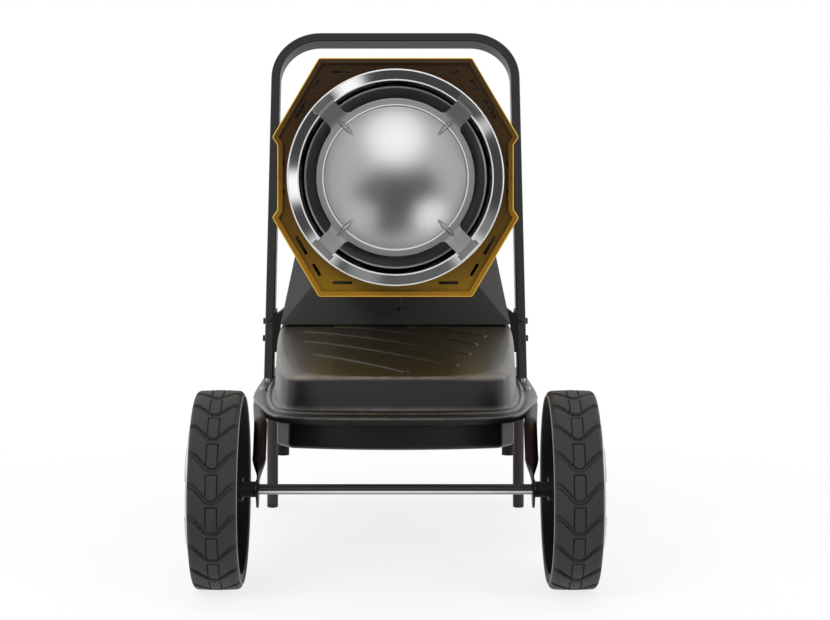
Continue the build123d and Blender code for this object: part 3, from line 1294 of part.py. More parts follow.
PUMP_BORE_Z = BODY_Z + PUMP_OFFSET
with BuildPart() as pump_body:
    rod_y(BELL_REAR_Y, PUMP_REAR_Y, 0, BODY_Z, PUMP_R)
    rod_y(BELL_REAR_Y, PUMP_REAR_Y, 0, PUMP_BORE_Z, PUMP_BORE_R, Mode.SUBTRACT)
save(pump_body, "pump_body")

with BuildPart() as pump_rotor:
    rotor_ys = (BELL_REAR_Y + AXIAL_CLEAR, PUMP_REAR_Y - AXIAL_CLEAR)
    rod_y(*rotor_ys, 0, BODY_Z, PUMP_ROTOR_R)
    with BuildSketch(facing(rotor_ys[0], BODY_Z)):
        with PolarLocations(PUMP_ROTOR_R - 4.0, 4, start_angle=45):
            Rectangle(8.4, 2.4)
    extrude(amount=-(rotor_ys[1] - rotor_ys[0]))
    rod_y(*rotor_ys, 0, BODY_Z, SHAFT_R, Mode.SUBTRACT)
save(pump_rotor, "pump_rotor")

with BuildPart() as pump_end_cover:
    rod_y(PUMP_REAR_Y, COVER_REAR_Y, 0, BODY_Z, PUMP_R)
    for turn in range(6):
        angle = 2 * pi * turn / 6
        spot = (0.82 * PUMP_R * cos(angle), BODY_Z + 0.82 * PUMP_R * sin(angle))
        rod_y(COVER_REAR_Y, COVER_REAR_Y + 2.5, *spot, 3.2)
save(pump_end_cover, "pump_end_cover")

with BuildPart() as air_filter:
    rod_y(COVER_REAR_Y, COVER_REAR_Y + FILTER_LEN, 0, BODY_Z, FILTER_R - 1.0)
save(air_filter, "air_filter")

DIAL_Z = BODY_Z - DIAL_DROP
with BuildPart() as pressure_gauge:
    rod_z(DIAL_Z, BODY_Z, 0, PUMP_REAR_Y - PUMP_LEN / 2, ELECTRODE_R)
    rod_y(BELL_REAR_Y, PUMP_REAR_Y, 0, BODY_Z, PUMP_R, Mode.SUBTRACT)
    rod_y(PUMP_REAR_Y - DIAL_T, PUMP_REAR_Y, 0, DIAL_Z, DIAL_R)
save(pressure_gauge, "pressure_gauge")

# ================================================================== cabinet
CABINET_TAN = tan(radians(CABINET_LEAN))


def wall_x(z):
    """Half the outer width of the cabinet at a height."""
    return CABINET_FOOT_HALF - (z - ROOF_TOP_Z) * CABINET_TAN


def cabinet_solid(inset):
    """The cabinet's outside as a closed solid, every wall moved inwards by the inset."""
    foot_z = ROOF_TOP_Z + inset
    side_in = inset / cos(radians(CABINET_LEAN))
    corner_a = Vector(CABINET_FOOT_HALF, CABINET_Y, ROOF_TOP_Z)
    corner_b = corner_a + Vector(-FACET_RUN, 0, FACET_RISE)
    facet_z = ROOF_TOP_Z + 2 * FACET_RISE
    corner_c = Vector(wall_x(facet_z), CABINET_Y + FACET_DEPTH, facet_z)
    normal = (corner_c - corner_a).cross(corner_b - corner_a).normalized()
    if normal.X < 0:
        normal = -normal
    with BuildPart() as solid:
        with BuildSketch(facing(CABINET_Y + inset, 0)):
            Polygon(
                (wall_x(foot_z) - side_in, foot_z),
                (wall_x(CABINET_TOP_Z) - side_in, CABINET_TOP_Z),
                (-wall_x(CABINET_TOP_Z) + side_in, CABINET_TOP_Z),
                (-wall_x(foot_z) + side_in, foot_z),
                align=None,
            )
        extrude(amount=-(CABINET_LEN - 2 * inset))
        for side in (-1, 1):
            place = corner_a - normal * inset
            facet = Plane(
                origin=(side * place.X, place.Y, place.Z),
                z_dir=(side * normal.X, normal.Y, normal.Z),
            )
            split(bisect_by=facet, keep=Keep.BOTTOM)
    return solid.part


CABINET_OUTSIDE = cabinet_solid(0.0)
CABINET_INSIDE = cabinet_solid(CABINET_T)
CONTROL_OPEN_W = CONTROL_HALF_W - CONTROL_LAP
CONTROL_OPEN_H = CONTROL_HALF_H - CONTROL_LAP
with BuildPart() as cabinet:
    add(CABINET_OUTSIDE)
    add(CABINET_INSIDE, mode=Mode.SUBTRACT)
    with BuildSketch(facing(CABINET_Y - EPS, BODY_Z)):
        add(BODY_SHAPE)
    extrude(amount=-(CABINET_LEN + 2 * EPS), mode=Mode.SUBTRACT)
    block(
        (-CONTROL_OPEN_W, CONTROL_OPEN_W),
        (CABINET_REAR_Y - 2 * CABINET_T, CABINET_REAR_Y + EPS),
        (CONTROL_Z - CONTROL_OPEN_H, CONTROL_Z + CONTROL_OPEN_H),
        Mode.SUBTRACT,
    )
    rod_z(
        ROOF_TOP_Z - EPS, ROOF_TOP_Z + 2 * CABINET_T, PICKUP_X, PICKUP_Y,
        PICKUP_FLANGE_R + HOLE_CLEAR, Mode.SUBTRACT,
    )
    rod_y(
        CABINET_Y - EPS, CABINET_Y + 2 * CABINET_T, PICKUP_X, LINE_TURN_Z,
        LINE_R + HOLE_CLEAR, Mode.SUBTRACT,
    )
save(cabinet, "cabinet")

with BuildPart() as side_brackets:
    for side in (-1, 1):
        top_z = ROOF_TOP_Z + BRACKET_RISE
        tip_z = ROOF_TOP_Z - BRACKET_T
        skin = BRACKET_T * 1.4
        bend_z = top_z - (CHEEK_OUT_X - wall_x(top_z)) * (top_z - tip_z) / (BRACKET_TIP_X - wall_x(top_z))
        with BuildSketch(facing(at_y(BRACKET_FRONT_BACK), 0)):
            Polygon(
                (side * wall_x(top_z), top_z),
                (side * CHEEK_OUT_X, bend_z),
                (side * CHEEK_OUT_X, bend_z - skin),
                (side * wall_x(top_z - skin), top_z - skin),
                align=None,
            )
        extrude(amount=-(CABINET_FRONT_BACK + CABINET_LEN - BRACKET_FRONT_BACK))
        with BuildSketch(facing(at_y(BRACKET_FRONT_BACK), 0)):
            Polygon(
                (side * wall_x(top_z), top_z),
                (side * BRACKET_TIP_X, tip_z),
                (side * wall_x(ROOF_TOP_Z), ROOF_TOP_Z),
                align=None,
            )
        extrude(amount=-BRACKET_T)
        cheek_z = (ROOF_TOP_Z - CHEEK_DROP, bend_z + CHEEK_RISE)
        cheek_y = at_y(BRACKET_FRONT_BACK)
        block((side * CHEEK_IN_X, side * CHEEK_OUT_X), (cheek_y, CABINET_REAR_Y), cheek_z)
        web_z = (cheek_z[0], bend_z - skin / 2)
        block((side * CHEEK_WEB_IN_X, side * CHEEK_OUT_X), (cheek_y, cheek_y + BRACKET_T), web_z)
        for z in HANDLE_BOLT_Z:
            rod_x(side * CHEEK_IN_X, side * CHEEK_OUT_X, handle_y(z), z, BOLT_R + HOLE_CLEAR, Mode.SUBTRACT)
save(side_brackets, "side_brackets")

PANEL_FACE_Y = CABINET_REAR_Y + CONTROL_T
with BuildPart() as control_panel:
    block(
        (-CONTROL_HALF_W, CONTROL_HALF_W),
        (CABINET_REAR_Y, PANEL_FACE_Y),
        (CONTROL_Z - CONTROL_HALF_H, CONTROL_Z + CONTROL_HALF_H),
    )
    fillet(control_panel.edges().filter_by(Axis.Y), radius=5.0)
    through = (CABINET_REAR_Y - EPS, PANEL_FACE_Y + EPS)
    rod_y(*through, KNOB_X, CONTROL_Z, KNOB_STEM_R + RUN_CLEAR, Mode.SUBTRACT)
    rod_y(*through, BUTTON_X, CONTROL_Z, BUTTON_R + RUN_CLEAR, Mode.SUBTRACT)
    for x, half_w, half_h in (
        (ROCKER_X, ROCKER_HALF_W + ROCKER_SIDE_GAP + SWITCH_WALL, ROCKER_HALF_H + ROCKER_END_GAP + SWITCH_WALL),
        (DISPLAY_X, DISPLAY_HALF_W, DISPLAY_HALF_H),
        (INLET_X, INLET_HALF_W, INLET_HALF_H),
    ):
        block((x - half_w, x + half_w), through, (CONTROL_Z - half_h, CONTROL_Z + half_h), Mode.SUBTRACT)
save(control_panel, "control_panel")

with BuildPart() as display_window:
    block(
        (DISPLAY_X - DISPLAY_HALF_W, DISPLAY_X + DISPLAY_HALF_W),
        (PANEL_FACE_Y - DISPLAY_T, PANEL_FACE_Y),
        (CONTROL_Z - DISPLAY_HALF_H, CONTROL_Z + DISPLAY_HALF_H),
    )
save(display_window, "display_window")

KNOB_FOOT_Y = PANEL_FACE_Y + AXIAL_CLEAR
STEM_END_Y = CABINET_REAR_Y - KNOB_STEM_LEN
with BuildPart() as thermostat_knob:
    rod_y(KNOB_FOOT_Y, KNOB_FOOT_Y + KNOB_LEN, KNOB_X, CONTROL_Z, KNOB_R)
    fillet(thermostat_knob.edges().group_by(Axis.Y)[-1], radius=1.5)
    with BuildSketch(facing(KNOB_FOOT_Y + KNOB_LEN + EPS, CONTROL_Z)):
        with Locations((KNOB_X, 0)):
            with PolarLocations(KNOB_R + 0.8, 18):
                Circle(1.8)
        with Locations((KNOB_X, KNOB_R * 0.6)):
            Rectangle(1.6, KNOB_R * 0.6)
    extrude(amount=1.8, mode=Mode.SUBTRACT)
    rod_y(STEM_END_Y, KNOB_FOOT_Y, KNOB_X, CONTROL_Z, KNOB_STEM_R)
save(thermostat_knob, "thermostat_knob")

with BuildPart() as thermostat_body:
    rod_y(STEM_END_Y - 4.0, CABINET_REAR_Y, KNOB_X, CONTROL_Z, 12.0)
    rod_y(STEM_END_Y - AXIAL_CLEAR, CABINET_REAR_Y, KNOB_X, CONTROL_Z, KNOB_STEM_R + RUN_CLEAR, Mode.SUBTRACT)
save(thermostat_body, "thermostat_body")

with BuildPart() as reset_button:
    rod_y(CABINET_REAR_Y - BUTTON_STEM, PANEL_FACE_Y + BUTTON_PROUD, BUTTON_X, CONTROL_Z, BUTTON_R)
    fillet(reset_button.edges().group_by(Axis.Y)[-1], radius=1.0)
    collar_ys = (CABINET_REAR_Y - AXIAL_CLEAR - BUTTON_COLLAR, CABINET_REAR_Y - AXIAL_CLEAR)
    rod_y(*collar_ys, BUTTON_X, CONTROL_Z, BUTTON_R + BUTTON_COLLAR)
save(reset_button, "reset_button")

SWITCH_HALF_W = ROCKER_HALF_W + ROCKER_SIDE_GAP + SWITCH_WALL
SWITCH_HALF_H = ROCKER_HALF_H + ROCKER_END_GAP + SWITCH_WALL
SWITCH_REAR_Y = PANEL_FACE_Y - SWITCH_DEPTH
with BuildPart() as switch_housing:
    block(
        (ROCKER_X - SWITCH_HALF_W, ROCKER_X + SWITCH_HALF_W),
        (SWITCH_REAR_Y - SWITCH_WALL, PANEL_FACE_Y),
        (CONTROL_Z - SWITCH_HALF_H, CONTROL_Z + SWITCH_HALF_H),
    )
    block(
        (ROCKER_X - SWITCH_HALF_W + SWITCH_WALL, ROCKER_X + SWITCH_HALF_W - SWITCH_WALL),
        (SWITCH_REAR_Y, PANEL_FACE_Y),
        (CONTROL_Z - SWITCH_HALF_H + SWITCH_WALL, CONTROL_Z + SWITCH_HALF_H - SWITCH_WALL),
        Mode.SUBTRACT,
    )
    rod_x(
        ROCKER_X - SWITCH_HALF_W, ROCKER_X + SWITCH_HALF_W, PANEL_FACE_Y - ROCKER_PIN_R * 2,
        CONTROL_Z, ROCKER_PIN_R + RUN_CLEAR, Mode.SUBTRACT,
    )
save(switch_housing, "switch_housing")

PIVOT_Y = PANEL_FACE_Y - ROCKER_PIN_R * 2
ROCKER_AXIS = Axis((ROCKER_X, PIVOT_Y, CONTROL_Z), (1, 0, 0))
ROCKER_SIDE = (
    (-2.5, ROCKER_HALF_H),
    (5.5, ROCKER_HALF_H),
    (3.5, 0.0),
    (5.5, -ROCKER_HALF_H),
    (-2.5, -ROCKER_HALF_H),
    (-5.0, -4.0),
    (-5.0, 4.0),
)
with BuildPart() as rocker_level:
    with BuildSketch(side_plane(ROCKER_X, PIVOT_Y, CONTROL_Z)):
        Polygon(*ROCKER_SIDE, align=None)
    extrude(amount=ROCKER_HALF_W, both=True)
    rod_x(
        ROCKER_X - SWITCH_HALF_W + 0.2, ROCKER_X + SWITCH_HALF_W - 0.2, PIVOT_Y, CONTROL_Z, ROCKER_PIN_R,
    )
with BuildPart() as power_switch:
    add(rocker_level.part.rotate(ROCKER_AXIS, -ROCKER_TILT))
save(power_switch, "power_switch")

with BuildPart() as power_inlet:
    xs = (INLET_X - INLET_HALF_W, INLET_X + INLET_HALF_W)
    zs = (CONTROL_Z - INLET_HALF_H, CONTROL_Z + INLET_HALF_H)
    block(xs, (PANEL_FACE_Y - INLET_LEN, PANEL_FACE_Y + INLET_PROUD), zs)
    block(
        (xs[0] + INLET_WALL, xs[1] - INLET_WALL),
        (PANEL_FACE_Y - INLET_LEN + INLET_WALL, PANEL_FACE_Y + INLET_PROUD),
        (zs[0] + INLET_WALL, zs[1] - INLET_WALL),
        Mode.SUBTRACT,
    )
    pin_ys = (PANEL_FACE_Y - INLET_LEN + INLET_WALL, PANEL_FACE_Y - INLET_WALL)
    for x, z in ((-4.5, -3.0), (4.5, -3.0), (0.0, 4.0)):
        block((INLET_X + x - 1, INLET_X + x + 1), pin_ys, (CONTROL_Z + z - 2, CONTROL_Z + z + 2))
save(power_inlet, "power_inlet")

CABINET_FLOOR_Z = ROOF_TOP_Z + CABINET_T
BOARD_Y = CABINET_Y + CABINET_LEN / 2
with BuildPart() as control_board:
    board_z = CABINET_FLOOR_Z + BOARD_STANDOFF
    xs = (BOARD_X - BOARD_W / 2, BOARD_X + BOARD_W / 2)
    ys = (BOARD_Y - BOARD_D / 2, BOARD_Y + BOARD_D / 2)
    block(xs, ys, (board_z, board_z + BOARD_T))
    for x in (xs[0] + 6, xs[1] - 6):
        for y in (ys[0] + 6, ys[1] - 6):
            rod_z(CABINET_FLOOR_Z, board_z, x, y, 3.0)
    top_z = board_z + BOARD_T
    block((BOARD_X - 40, BOARD_X - 15), (BOARD_Y - 25, BOARD_Y + 5), (top_z, top_z + 16))
    block((BOARD_X, BOARD_X + 20), (BOARD_Y - 25, BOARD_Y - 5), (top_z, top_z + 15))
    block((BOARD_X - 35, BOARD_X + 25), (BOARD_Y + 22, BOARD_Y + 34), (top_z, top_z + 11))
    rod_z(top_z, top_z + 20, BOARD_X + 38, BOARD_Y + 4, 8.0)
    rod_z(top_z, top_z + 14, BOARD_X + 8, BOARD_Y + 10, 5.0)
save(control_board, "control_board")

with BuildPart() as ignition_transformer:
    xs = (TRANSFORMER_X - TRANSFORMER_W / 2, TRANSFORMER_X + TRANSFORMER_W / 2)
    ys = (BOARD_Y - TRANSFORMER_D / 2, BOARD_Y + TRANSFORMER_D / 2)
    block(xs, ys, (CABINET_FLOOR_Z, CABINET_FLOOR_Z + TRANSFORMER_H))
    fillet(ignition_transformer.edges().filter_by(Axis.Z), radius=6.0)
    for side in (-1, 1):
        x = TRANSFORMER_X + side * 16
        rod_z(CABINET_FLOOR_Z + TRANSFORMER_H, CABINET_FLOOR_Z + TRANSFORMER_H + 12, x, BOARD_Y, 5.0)
        block((TRANSFORMER_X + side * 40, TRANSFORMER_X + side * 50), (BOARD_Y - 15, BOARD_Y + 15),
              (CABINET_FLOOR_Z, CABINET_FLOOR_Z + 2.5))
save(ignition_transformer, "ignition_transformer")

with BuildPart() as fuel_line:
    with BuildLine() as route:
        FilletPolyline(
            (0, NOZZLE_REAR_Y, BODY_Z),
            (0, LINE_Y, BODY_Z),
            (PICKUP_X, LINE_Y, BODY_Z - 40),
            (PICKUP_X, LINE_Y, LINE_TURN_Z),
            (PICKUP_X, PICKUP_Y - PICKUP_PIPE_R, LINE_TURN_Z),
            radius=8.0,
        )
    with BuildSketch(Plane(origin=route.line @ 0, x_dir=(1, 0, 0), z_dir=(0, 1, 0))):
        Circle(LINE_R)
    sweep(path=route.line)
    rod_z(LINE_TURN_Z - 2 * LINE_R, LINE_TURN_Z + 2 * LINE_R, PICKUP_X, PICKUP_Y, PICKUP_PIPE_R, Mode.SUBTRACT)
save(fuel_line, "fuel_line")
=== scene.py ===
"""Forced air heater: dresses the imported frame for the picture.  Metres; +X right, +Y rear, +Z up."""
from math import atan2, cos, degrees, pi, radians, sin, sqrt, tan

import bmesh
import bpy
from mathutils import Matrix, Vector


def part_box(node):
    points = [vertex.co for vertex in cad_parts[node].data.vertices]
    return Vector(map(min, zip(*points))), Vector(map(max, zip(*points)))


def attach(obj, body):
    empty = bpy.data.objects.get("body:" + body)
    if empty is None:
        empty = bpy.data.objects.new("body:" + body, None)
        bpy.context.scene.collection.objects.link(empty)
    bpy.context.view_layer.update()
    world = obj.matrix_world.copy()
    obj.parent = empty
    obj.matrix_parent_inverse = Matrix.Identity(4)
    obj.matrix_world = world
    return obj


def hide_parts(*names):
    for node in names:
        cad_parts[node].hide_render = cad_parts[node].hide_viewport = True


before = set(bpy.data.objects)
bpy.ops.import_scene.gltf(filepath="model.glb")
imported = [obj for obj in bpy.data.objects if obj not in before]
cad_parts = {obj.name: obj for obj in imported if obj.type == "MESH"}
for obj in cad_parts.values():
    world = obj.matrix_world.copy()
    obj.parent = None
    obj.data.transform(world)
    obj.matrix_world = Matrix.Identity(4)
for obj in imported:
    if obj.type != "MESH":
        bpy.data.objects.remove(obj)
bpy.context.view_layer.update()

# ---------------------------------------------------------------- places read off the frame
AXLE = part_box("axle")
AXLE_Y = (AXLE[0][1] + AXLE[1][1]) / 2
AXLE_Z = (AXLE[0][2] + AXLE[1][2]) / 2
SHELL_LOW, SHELL_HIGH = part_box("lower_shell")[0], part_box("upper_shell")[1]
BODY_Z = (SHELL_LOW[2] + SHELL_HIGH[2]) / 2
BODY_FRONT_Y = SHELL_LOW[1]
# the tank's roof: where its slope starts, the direction square to the slope, how far along that
# direction the slope lies, and the height of the level part
SLOPE_Y, SLOPE_Z = AXLE_Y + 0.094, 0.3165
ROOF_SQUARE = (0.0, -0.1091, 0.9940)
ROOF_AT = ROOF_SQUARE[2] * SLOPE_Z + ROOF_SQUARE[1] * SLOPE_Y
ROOF_TOP = 0.366
# the height over which painted shade darkens the front towards the top
PANEL_FOOT_Z, PANEL_HEAD_Z = BODY_Z - 0.18, BODY_Z + 0.17

# ---------------------------------------------------------------- camera of the photograph
CAMERA_DISTANCE = 3.016
CAMERA_HEIGHT = 0.6354
LENS = 84.58
SHIFT_X = 0.0235
SHIFT_Y = -0.1602


# ================================================================ node helpers
def new_group(name, inputs, outputs):
    """A shader node group; each socket is (name, type, default)."""
    group = bpy.data.node_groups.new(name, "ShaderNodeTree")
    for label, kind, default in inputs:
        socket = group.interface.new_socket(name=label, in_out="INPUT", socket_type=kind)
        if default is not None:
            socket.default_value = default
    for label, kind in outputs:
        group.interface.new_socket(name=label, in_out="OUTPUT", socket_type=kind)
    return group, group.nodes.new("NodeGroupInput"), group.nodes.new("NodeGroupOutput")


def feed(tree, socket, value):
    """Links another node's output to a socket, or sets the socket to a constant."""
    if isinstance(value, bpy.types.NodeSocket):
        tree.links.new(value, socket)
    else:
        socket.default_value = value


def math_node(tree, operation, first, second, clamp=False):
    node = tree.nodes.new("ShaderNodeMath")
    node.operation = operation
    node.use_clamp = clamp
    feed(tree, node.inputs[0], first)
    feed(tree, node.inputs[1], second)
    return node.outputs[0]


def noise_node(tree, vector, scale, detail=4.0, roughness=0.55):
    node = tree.nodes.new("ShaderNodeTexNoise")
    node.inputs["Detail"].default_value = detail
    node.inputs["Roughness"].default_value = roughness
    tree.links.new(vector, node.inputs["Vector"])
    feed(tree, node.inputs["Scale"], scale)
    return node.outputs["Fac"]


def mix_colours(tree, factor, first, second):
    node = tree.nodes.new("ShaderNodeMix")
    node.data_type = "RGBA"
    for index, value in ((0, factor), (6, first), (7, second)):
        feed(tree, node.inputs[index], value)
    return node.outputs[2]


def vector_node(tree, operation, *values, result="Vector"):
    node = tree.nodes.new("ShaderNodeVectorMath")
    node.operation = operation
    for socket, value in zip(node.inputs, values):
        feed(tree, socket, value)
    return node.outputs[result]


def spread_between(tree, value, low, high, to_low=0.0, to_high=1.0, eased=False):
    """A value's place between two limits, clamped, given as a number between two others."""
    node = tree.nodes.new("ShaderNodeMapRange")
    if eased:
        node.interpolation_type = "SMOOTHSTEP"
    for label, number in (("From Min", low), ("From Max", high), ("To Min", to_low), ("To Max", to_high)):
        node.inputs[label].default_value = number
    tree.links.new(value, node.inputs["Value"])
    return node.outputs[0]


# ================================================================ shared effects
def build_mottle():
    """Slow blotches and fine specks: colour, roughness and a bump height for any finish."""
    group, given, result = new_group(
        "mottle",
        (
            ("Vector", "NodeSocketVector", None),
            ("Colour", "NodeSocketColor", (0.5, 0.5, 0.5, 1)),
            ("Second Colour", "NodeSocketColor", (0.4, 0.4, 0.4, 1)),
            ("Blotch Scale", "NodeSocketFloat", 9.0),
            ("Grain Scale", "NodeSocketFloat", 700.0),
            ("Roughness", "NodeSocketFloat", 0.4),
            ("Spread", "NodeSocketFloat", 0.15),
        ),
        (("Colour", "NodeSocketColor"), ("Roughness", "NodeSocketFloat"), ("Height", "NodeSocketFloat")),
    )
    blotch = noise_node(group, given.outputs["Vector"], given.outputs["Blotch Scale"], 3.0)
    grain = noise_node(group, given.outputs["Vector"], given.outputs["Grain Scale"], 2.0)
    colour = mix_colours(group, blotch, given.outputs["Colour"], given.outputs["Second Colour"])
    swing = math_node(group, "MULTIPLY", math_node(group, "SUBTRACT", blotch, 0.5), given.outputs["Spread"])
    group.links.new(colour, result.inputs["Colour"])
    total = math_node(group, "ADD", given.outputs["Roughness"], swing, clamp=True)
    group.links.new(total, result.inputs["Roughness"])
    group.links.new(grain, result.inputs["Height"])
    return group


def build_brushing():
    """Long fine scratches along one axis, from a stretched noise, for rolled or turned metal."""
    group, given, result = new_group(
        "brushing",
        (
            ("Vector", "NodeSocketVector", None),
            ("Along", "NodeSocketVector", (1.0, 1.0, 1.0)),
            ("Colour", "NodeSocketColor", (0.6, 0.6, 0.6, 1)),
            ("Stain", "NodeSocketColor", (0.4, 0.35, 0.3, 1)),
            ("Stain Amount", "NodeSocketFloat", 0.2),
            ("Roughness", "NodeSocketFloat", 0.3),
            ("Spread", "NodeSocketFloat", 0.2),
        ),
        (("Colour", "NodeSocketColor"), ("Roughness", "NodeSocketFloat"), ("Height", "NodeSocketFloat")),
    )
    stretched = vector_node(group, "MULTIPLY", given.outputs["Vector"], given.outputs["Along"])
    lines = noise_node(group, stretched, 60.0, 6.0, 0.7)
    blotch = noise_node(group, given.outputs["Vector"], 14.0, 4.0)
    sharp = math_node(group, "MULTIPLY", math_node(group, "SUBTRACT", blotch, 0.42), 3.0, clamp=True)
    amount = math_node(group, "MULTIPLY", sharp, given.outputs["Stain Amount"])
    colour = mix_colours(group, amount, given.outputs["Colour"], given.outputs["Stain"])
    group.links.new(colour, result.inputs["Colour"])
    swing = math_node(group, "MULTIPLY", math_node(group, "SUBTRACT", lines, 0.5), given.outputs["Spread"])
    total = math_node(group, "ADD", given.outputs["Roughness"], swing, clamp=True)
    group.links.new(total, result.inputs["Roughness"])
    group.links.new(lines, result.inputs["Height"])
    return group


MOTTLE = build_mottle()
BRUSHING = build_brushing()
BLOTCH_DARKENING = 0.25
BACKWARD, UPWARD = (0, 1, 0), (0, 0, 1)


# ================================================================ finishes
def start_material(name):
    material = bpy.data.materials.new(name)
    material.use_nodes = True
    tree = material.node_tree
    shader = tree.nodes["Principled BSDF"]
    coords = tree.nodes.new("ShaderNodeTexCoord").outputs["Object"]
    return material, tree, shader, coords


def add_bump(tree, shader, height, distance):
    bump = tree.nodes.new("ShaderNodeBump")
    bump.inputs["Strength"].default_value = 1.0
    bump.inputs["Distance"].default_value = distance
    tree.links.new(height, bump.inputs["Height"])
    tree.links.new(bump.outputs["Normal"], shader.inputs["Normal"])


def set_sockets(shader, values):
    """Constants on the shader's own sockets, named with _ for each space."""
    for socket, value in values.items():
        shader.inputs[socket.replace("_", " ")].default_value = value


def lay_effect(tree, shader, coords, effect, depth, **values):
    """Places a shared effect with its values and lets it drive colour, roughness and bump."""
    node = tree.nodes.new("ShaderNodeGroup")
    node.node_tree = effect
    tree.links.new(coords, node.inputs["Vector"])
    for socket, value in values.items():
        feed(tree, node.inputs[socket.replace("_", " ")], value)
    tree.links.new(node.outputs["Colour"], shader.inputs["Base Color"])
    tree.links.new(node.outputs["Roughness"], shader.inputs["Roughness"])
    add_bump(tree, shader, node.outputs["Height"], depth)


def coated(name, colour, second, roughness, grain=600.0, depth=0.00006, **extra):
    """Paint, plastic or rubber: a mottled colour with a fine grain."""
    material, tree, shader, coords = start_material(name)
    lay_effect(
        tree, shader, coords, MOTTLE, depth, Colour=(*colour, 1), Second_Colour=(*second, 1),
        Roughness=roughness, Grain_Scale=grain, Spread=0.12,
    )
    set_sockets(shader, extra)
    return material


def metal(name, colour, stain, roughness, along=(1.0, 1.0, 1.0), stain_amount=0.2, depth=0.00003, **extra):
    """Bare metal with fine brush lines along the axis whose scale is small."""
    material, tree, shader, coords = start_material(name)
    lay_effect(
        tree, shader, coords, BRUSHING, depth, Along=along, Colour=(*colour, 1), Stain=(*stain, 1),
        Stain_Amount=stain_amount, Roughness=roughness, Spread=extra.pop("spread", 0.15),
    )
    set_sockets(shader, {"Metallic": 1.0, **extra})
    return material


def clear_glass(name, tint, roughness):
    material, tree, shader, coords = start_material(name)
    smears = noise_node(tree, coords, 120.0)
    tree.links.new(math_node(tree, "MULTIPLY", smears, roughness), shader.inputs["Roughness"])
    shader.inputs["Base Color"].default_value = (*tint, 1)
    shader.inputs["Transmission Weight"].default_value = 0.8
    shader.inputs["IOR"].default_value = 1.49
    return material


def along_line(tree, coords, direction, low, high):
    """0 to 1 along a direction of the object, between two distances from the origin."""
    reach = vector_node(tree, "DOT_PRODUCT", coords, direction, result="Value")
    return spread_between(tree, reach, low, high)


def colour_ramp(tree, place, stops):
    ramp = tree.nodes.new("ShaderNodeValToRGB")
    tree.links.new(place, ramp.inputs["Fac"])
    elements = ramp.color_ramp.elements
    while len(elements) < len(stops):
        elements.new(0.5)
    for element, (position, colour) in zip(elements, stops):
        element.position = position
        element.color = (*colour, 1)
    return ramp.outputs["Color"]


def graded(
    name, direction, low, high, stops, roughness, grain=500.0, depth=0.00008, roof_painted_light=None, painted_highlight_colour=None, **extra,
):
    """Colour that changes along a direction, faintly mottled, with painted light and reflection on the tank's
    roof and painted pale highlights.
    """
    material, tree, shader, coords = start_material(name)
    colour = colour_ramp(tree, along_line(tree, coords, direction, low, high), stops)
    if roof_painted_light:
        # painted light and reflection: the sloping and level parts of the tank's roof are made lighter and
        # olive
        sloping = along_line(tree, coords, ROOF_SQUARE, ROOF_AT - 0.0050, ROOF_AT - 0.0005)
        level_part = along_line(tree, coords, UPWARD, ROOF_TOP - 0.0055, ROOF_TOP - 0.0010)
        colour = mix_colours(tree, math_node(tree, "MAXIMUM", sloping, level_part), colour, (*roof_painted_light, 1))
    if painted_highlight_colour:
        # painted highlight: pale colour along the edges marked in the mesh, broken up by noise
        painted_highlight = tree.nodes.new("ShaderNodeAttribute")
        painted_highlight.attribute_name = "painted_highlight"
        highlight_share = math_node(tree, "MULTIPLY", painted_highlight.outputs["Fac"], noise_node(tree, coords, 40.0))
        colour = mix_colours(tree, math_node(tree, "MULTIPLY", highlight_share, 1.6, clamp=True), colour, (*painted_highlight_colour, 1))
    lay_effect(
        tree, shader, coords, MOTTLE, depth, Colour=colour, Roughness=roughness, Grain_Scale=grain,
        Second_Colour=mix_colours(tree, BLOTCH_DARKENING, colour, (0, 0, 0, 1)),
    )
    set_sockets(shader, extra)
    return material


def diffuser_steel(name):
    """Stainless sheet: a fine-ground dome, a duller rim, and darker arms."""
    material, tree, shader, coords = start_material(name)
    centred = vector_node(tree, "MULTIPLY_ADD", coords, (1, 0, 1), (0, 0, -BODY_Z))
    reach = vector_node(tree, "LENGTH", centred, result="Value")
    ramp_r, dome_end, rim_start = 0.16, 0.665, 0.68
    share = math_node(tree, "DIVIDE", reach, ramp_r)
    colour = colour_ramp(tree, share, (
        (dome_end, (0.57, 0.57, 0.57)), (rim_start, (0.44, 0.44, 0.44)),
        (0.74, (0.42, 0.42, 0.42)), (0.80, (0.28, 0.28, 0.275)),
    ))
    lay_effect(
        tree, shader, coords, BRUSHING, 0.000015, Colour=colour, Stain=colour, Spread=0.05,
        Roughness=spread_between(tree, share, dome_end, rim_start, 0.22, 0.32),
    )
    set_sockets(shader, {"Metallic": 1.0})
    return material


def housing_yellow(name):
    """Yellow stove paint, with painted shade on the narrow front edge of the housing, dark brown at the top.
    """
    material, tree, shader, coords = start_material(name)
    split = tree.nodes.new("ShaderNodeSeparateXYZ")
    tree.links.new(coords, split.inputs[0])
    rise = spread_between(tree, split.outputs["Z"], PANEL_FOOT_Z, PANEL_HEAD_Z, eased=True)
    # painted shade: the lip's front face runs from gold at the foot to dark brown at the top
    lip_painted_shade = mix_colours(tree, rise, (0.25, 0.115, 0.001, 1), (0.032, 0.013, 0.001, 1))
    behind_lip = spread_between(tree, split.outputs["Y"], BODY_FRONT_Y + 0.00005, BODY_FRONT_Y + 0.0005)
    colour = mix_colours(tree, behind_lip, lip_painted_shade, (0.70, 0.43, 0.012, 1))
    lay_effect(
        tree, shader, coords, MOTTLE, 0.00005, Colour=colour, Second_Colour=colour, Roughness=0.38,
        Grain_Scale=600.0,
    )
    set_sockets(shader, {"Specular_IOR_Level": 0.3, "Coat_Weight": 0.12})
    return material


HOUSING_PAINT = housing_yellow("housing_paint")
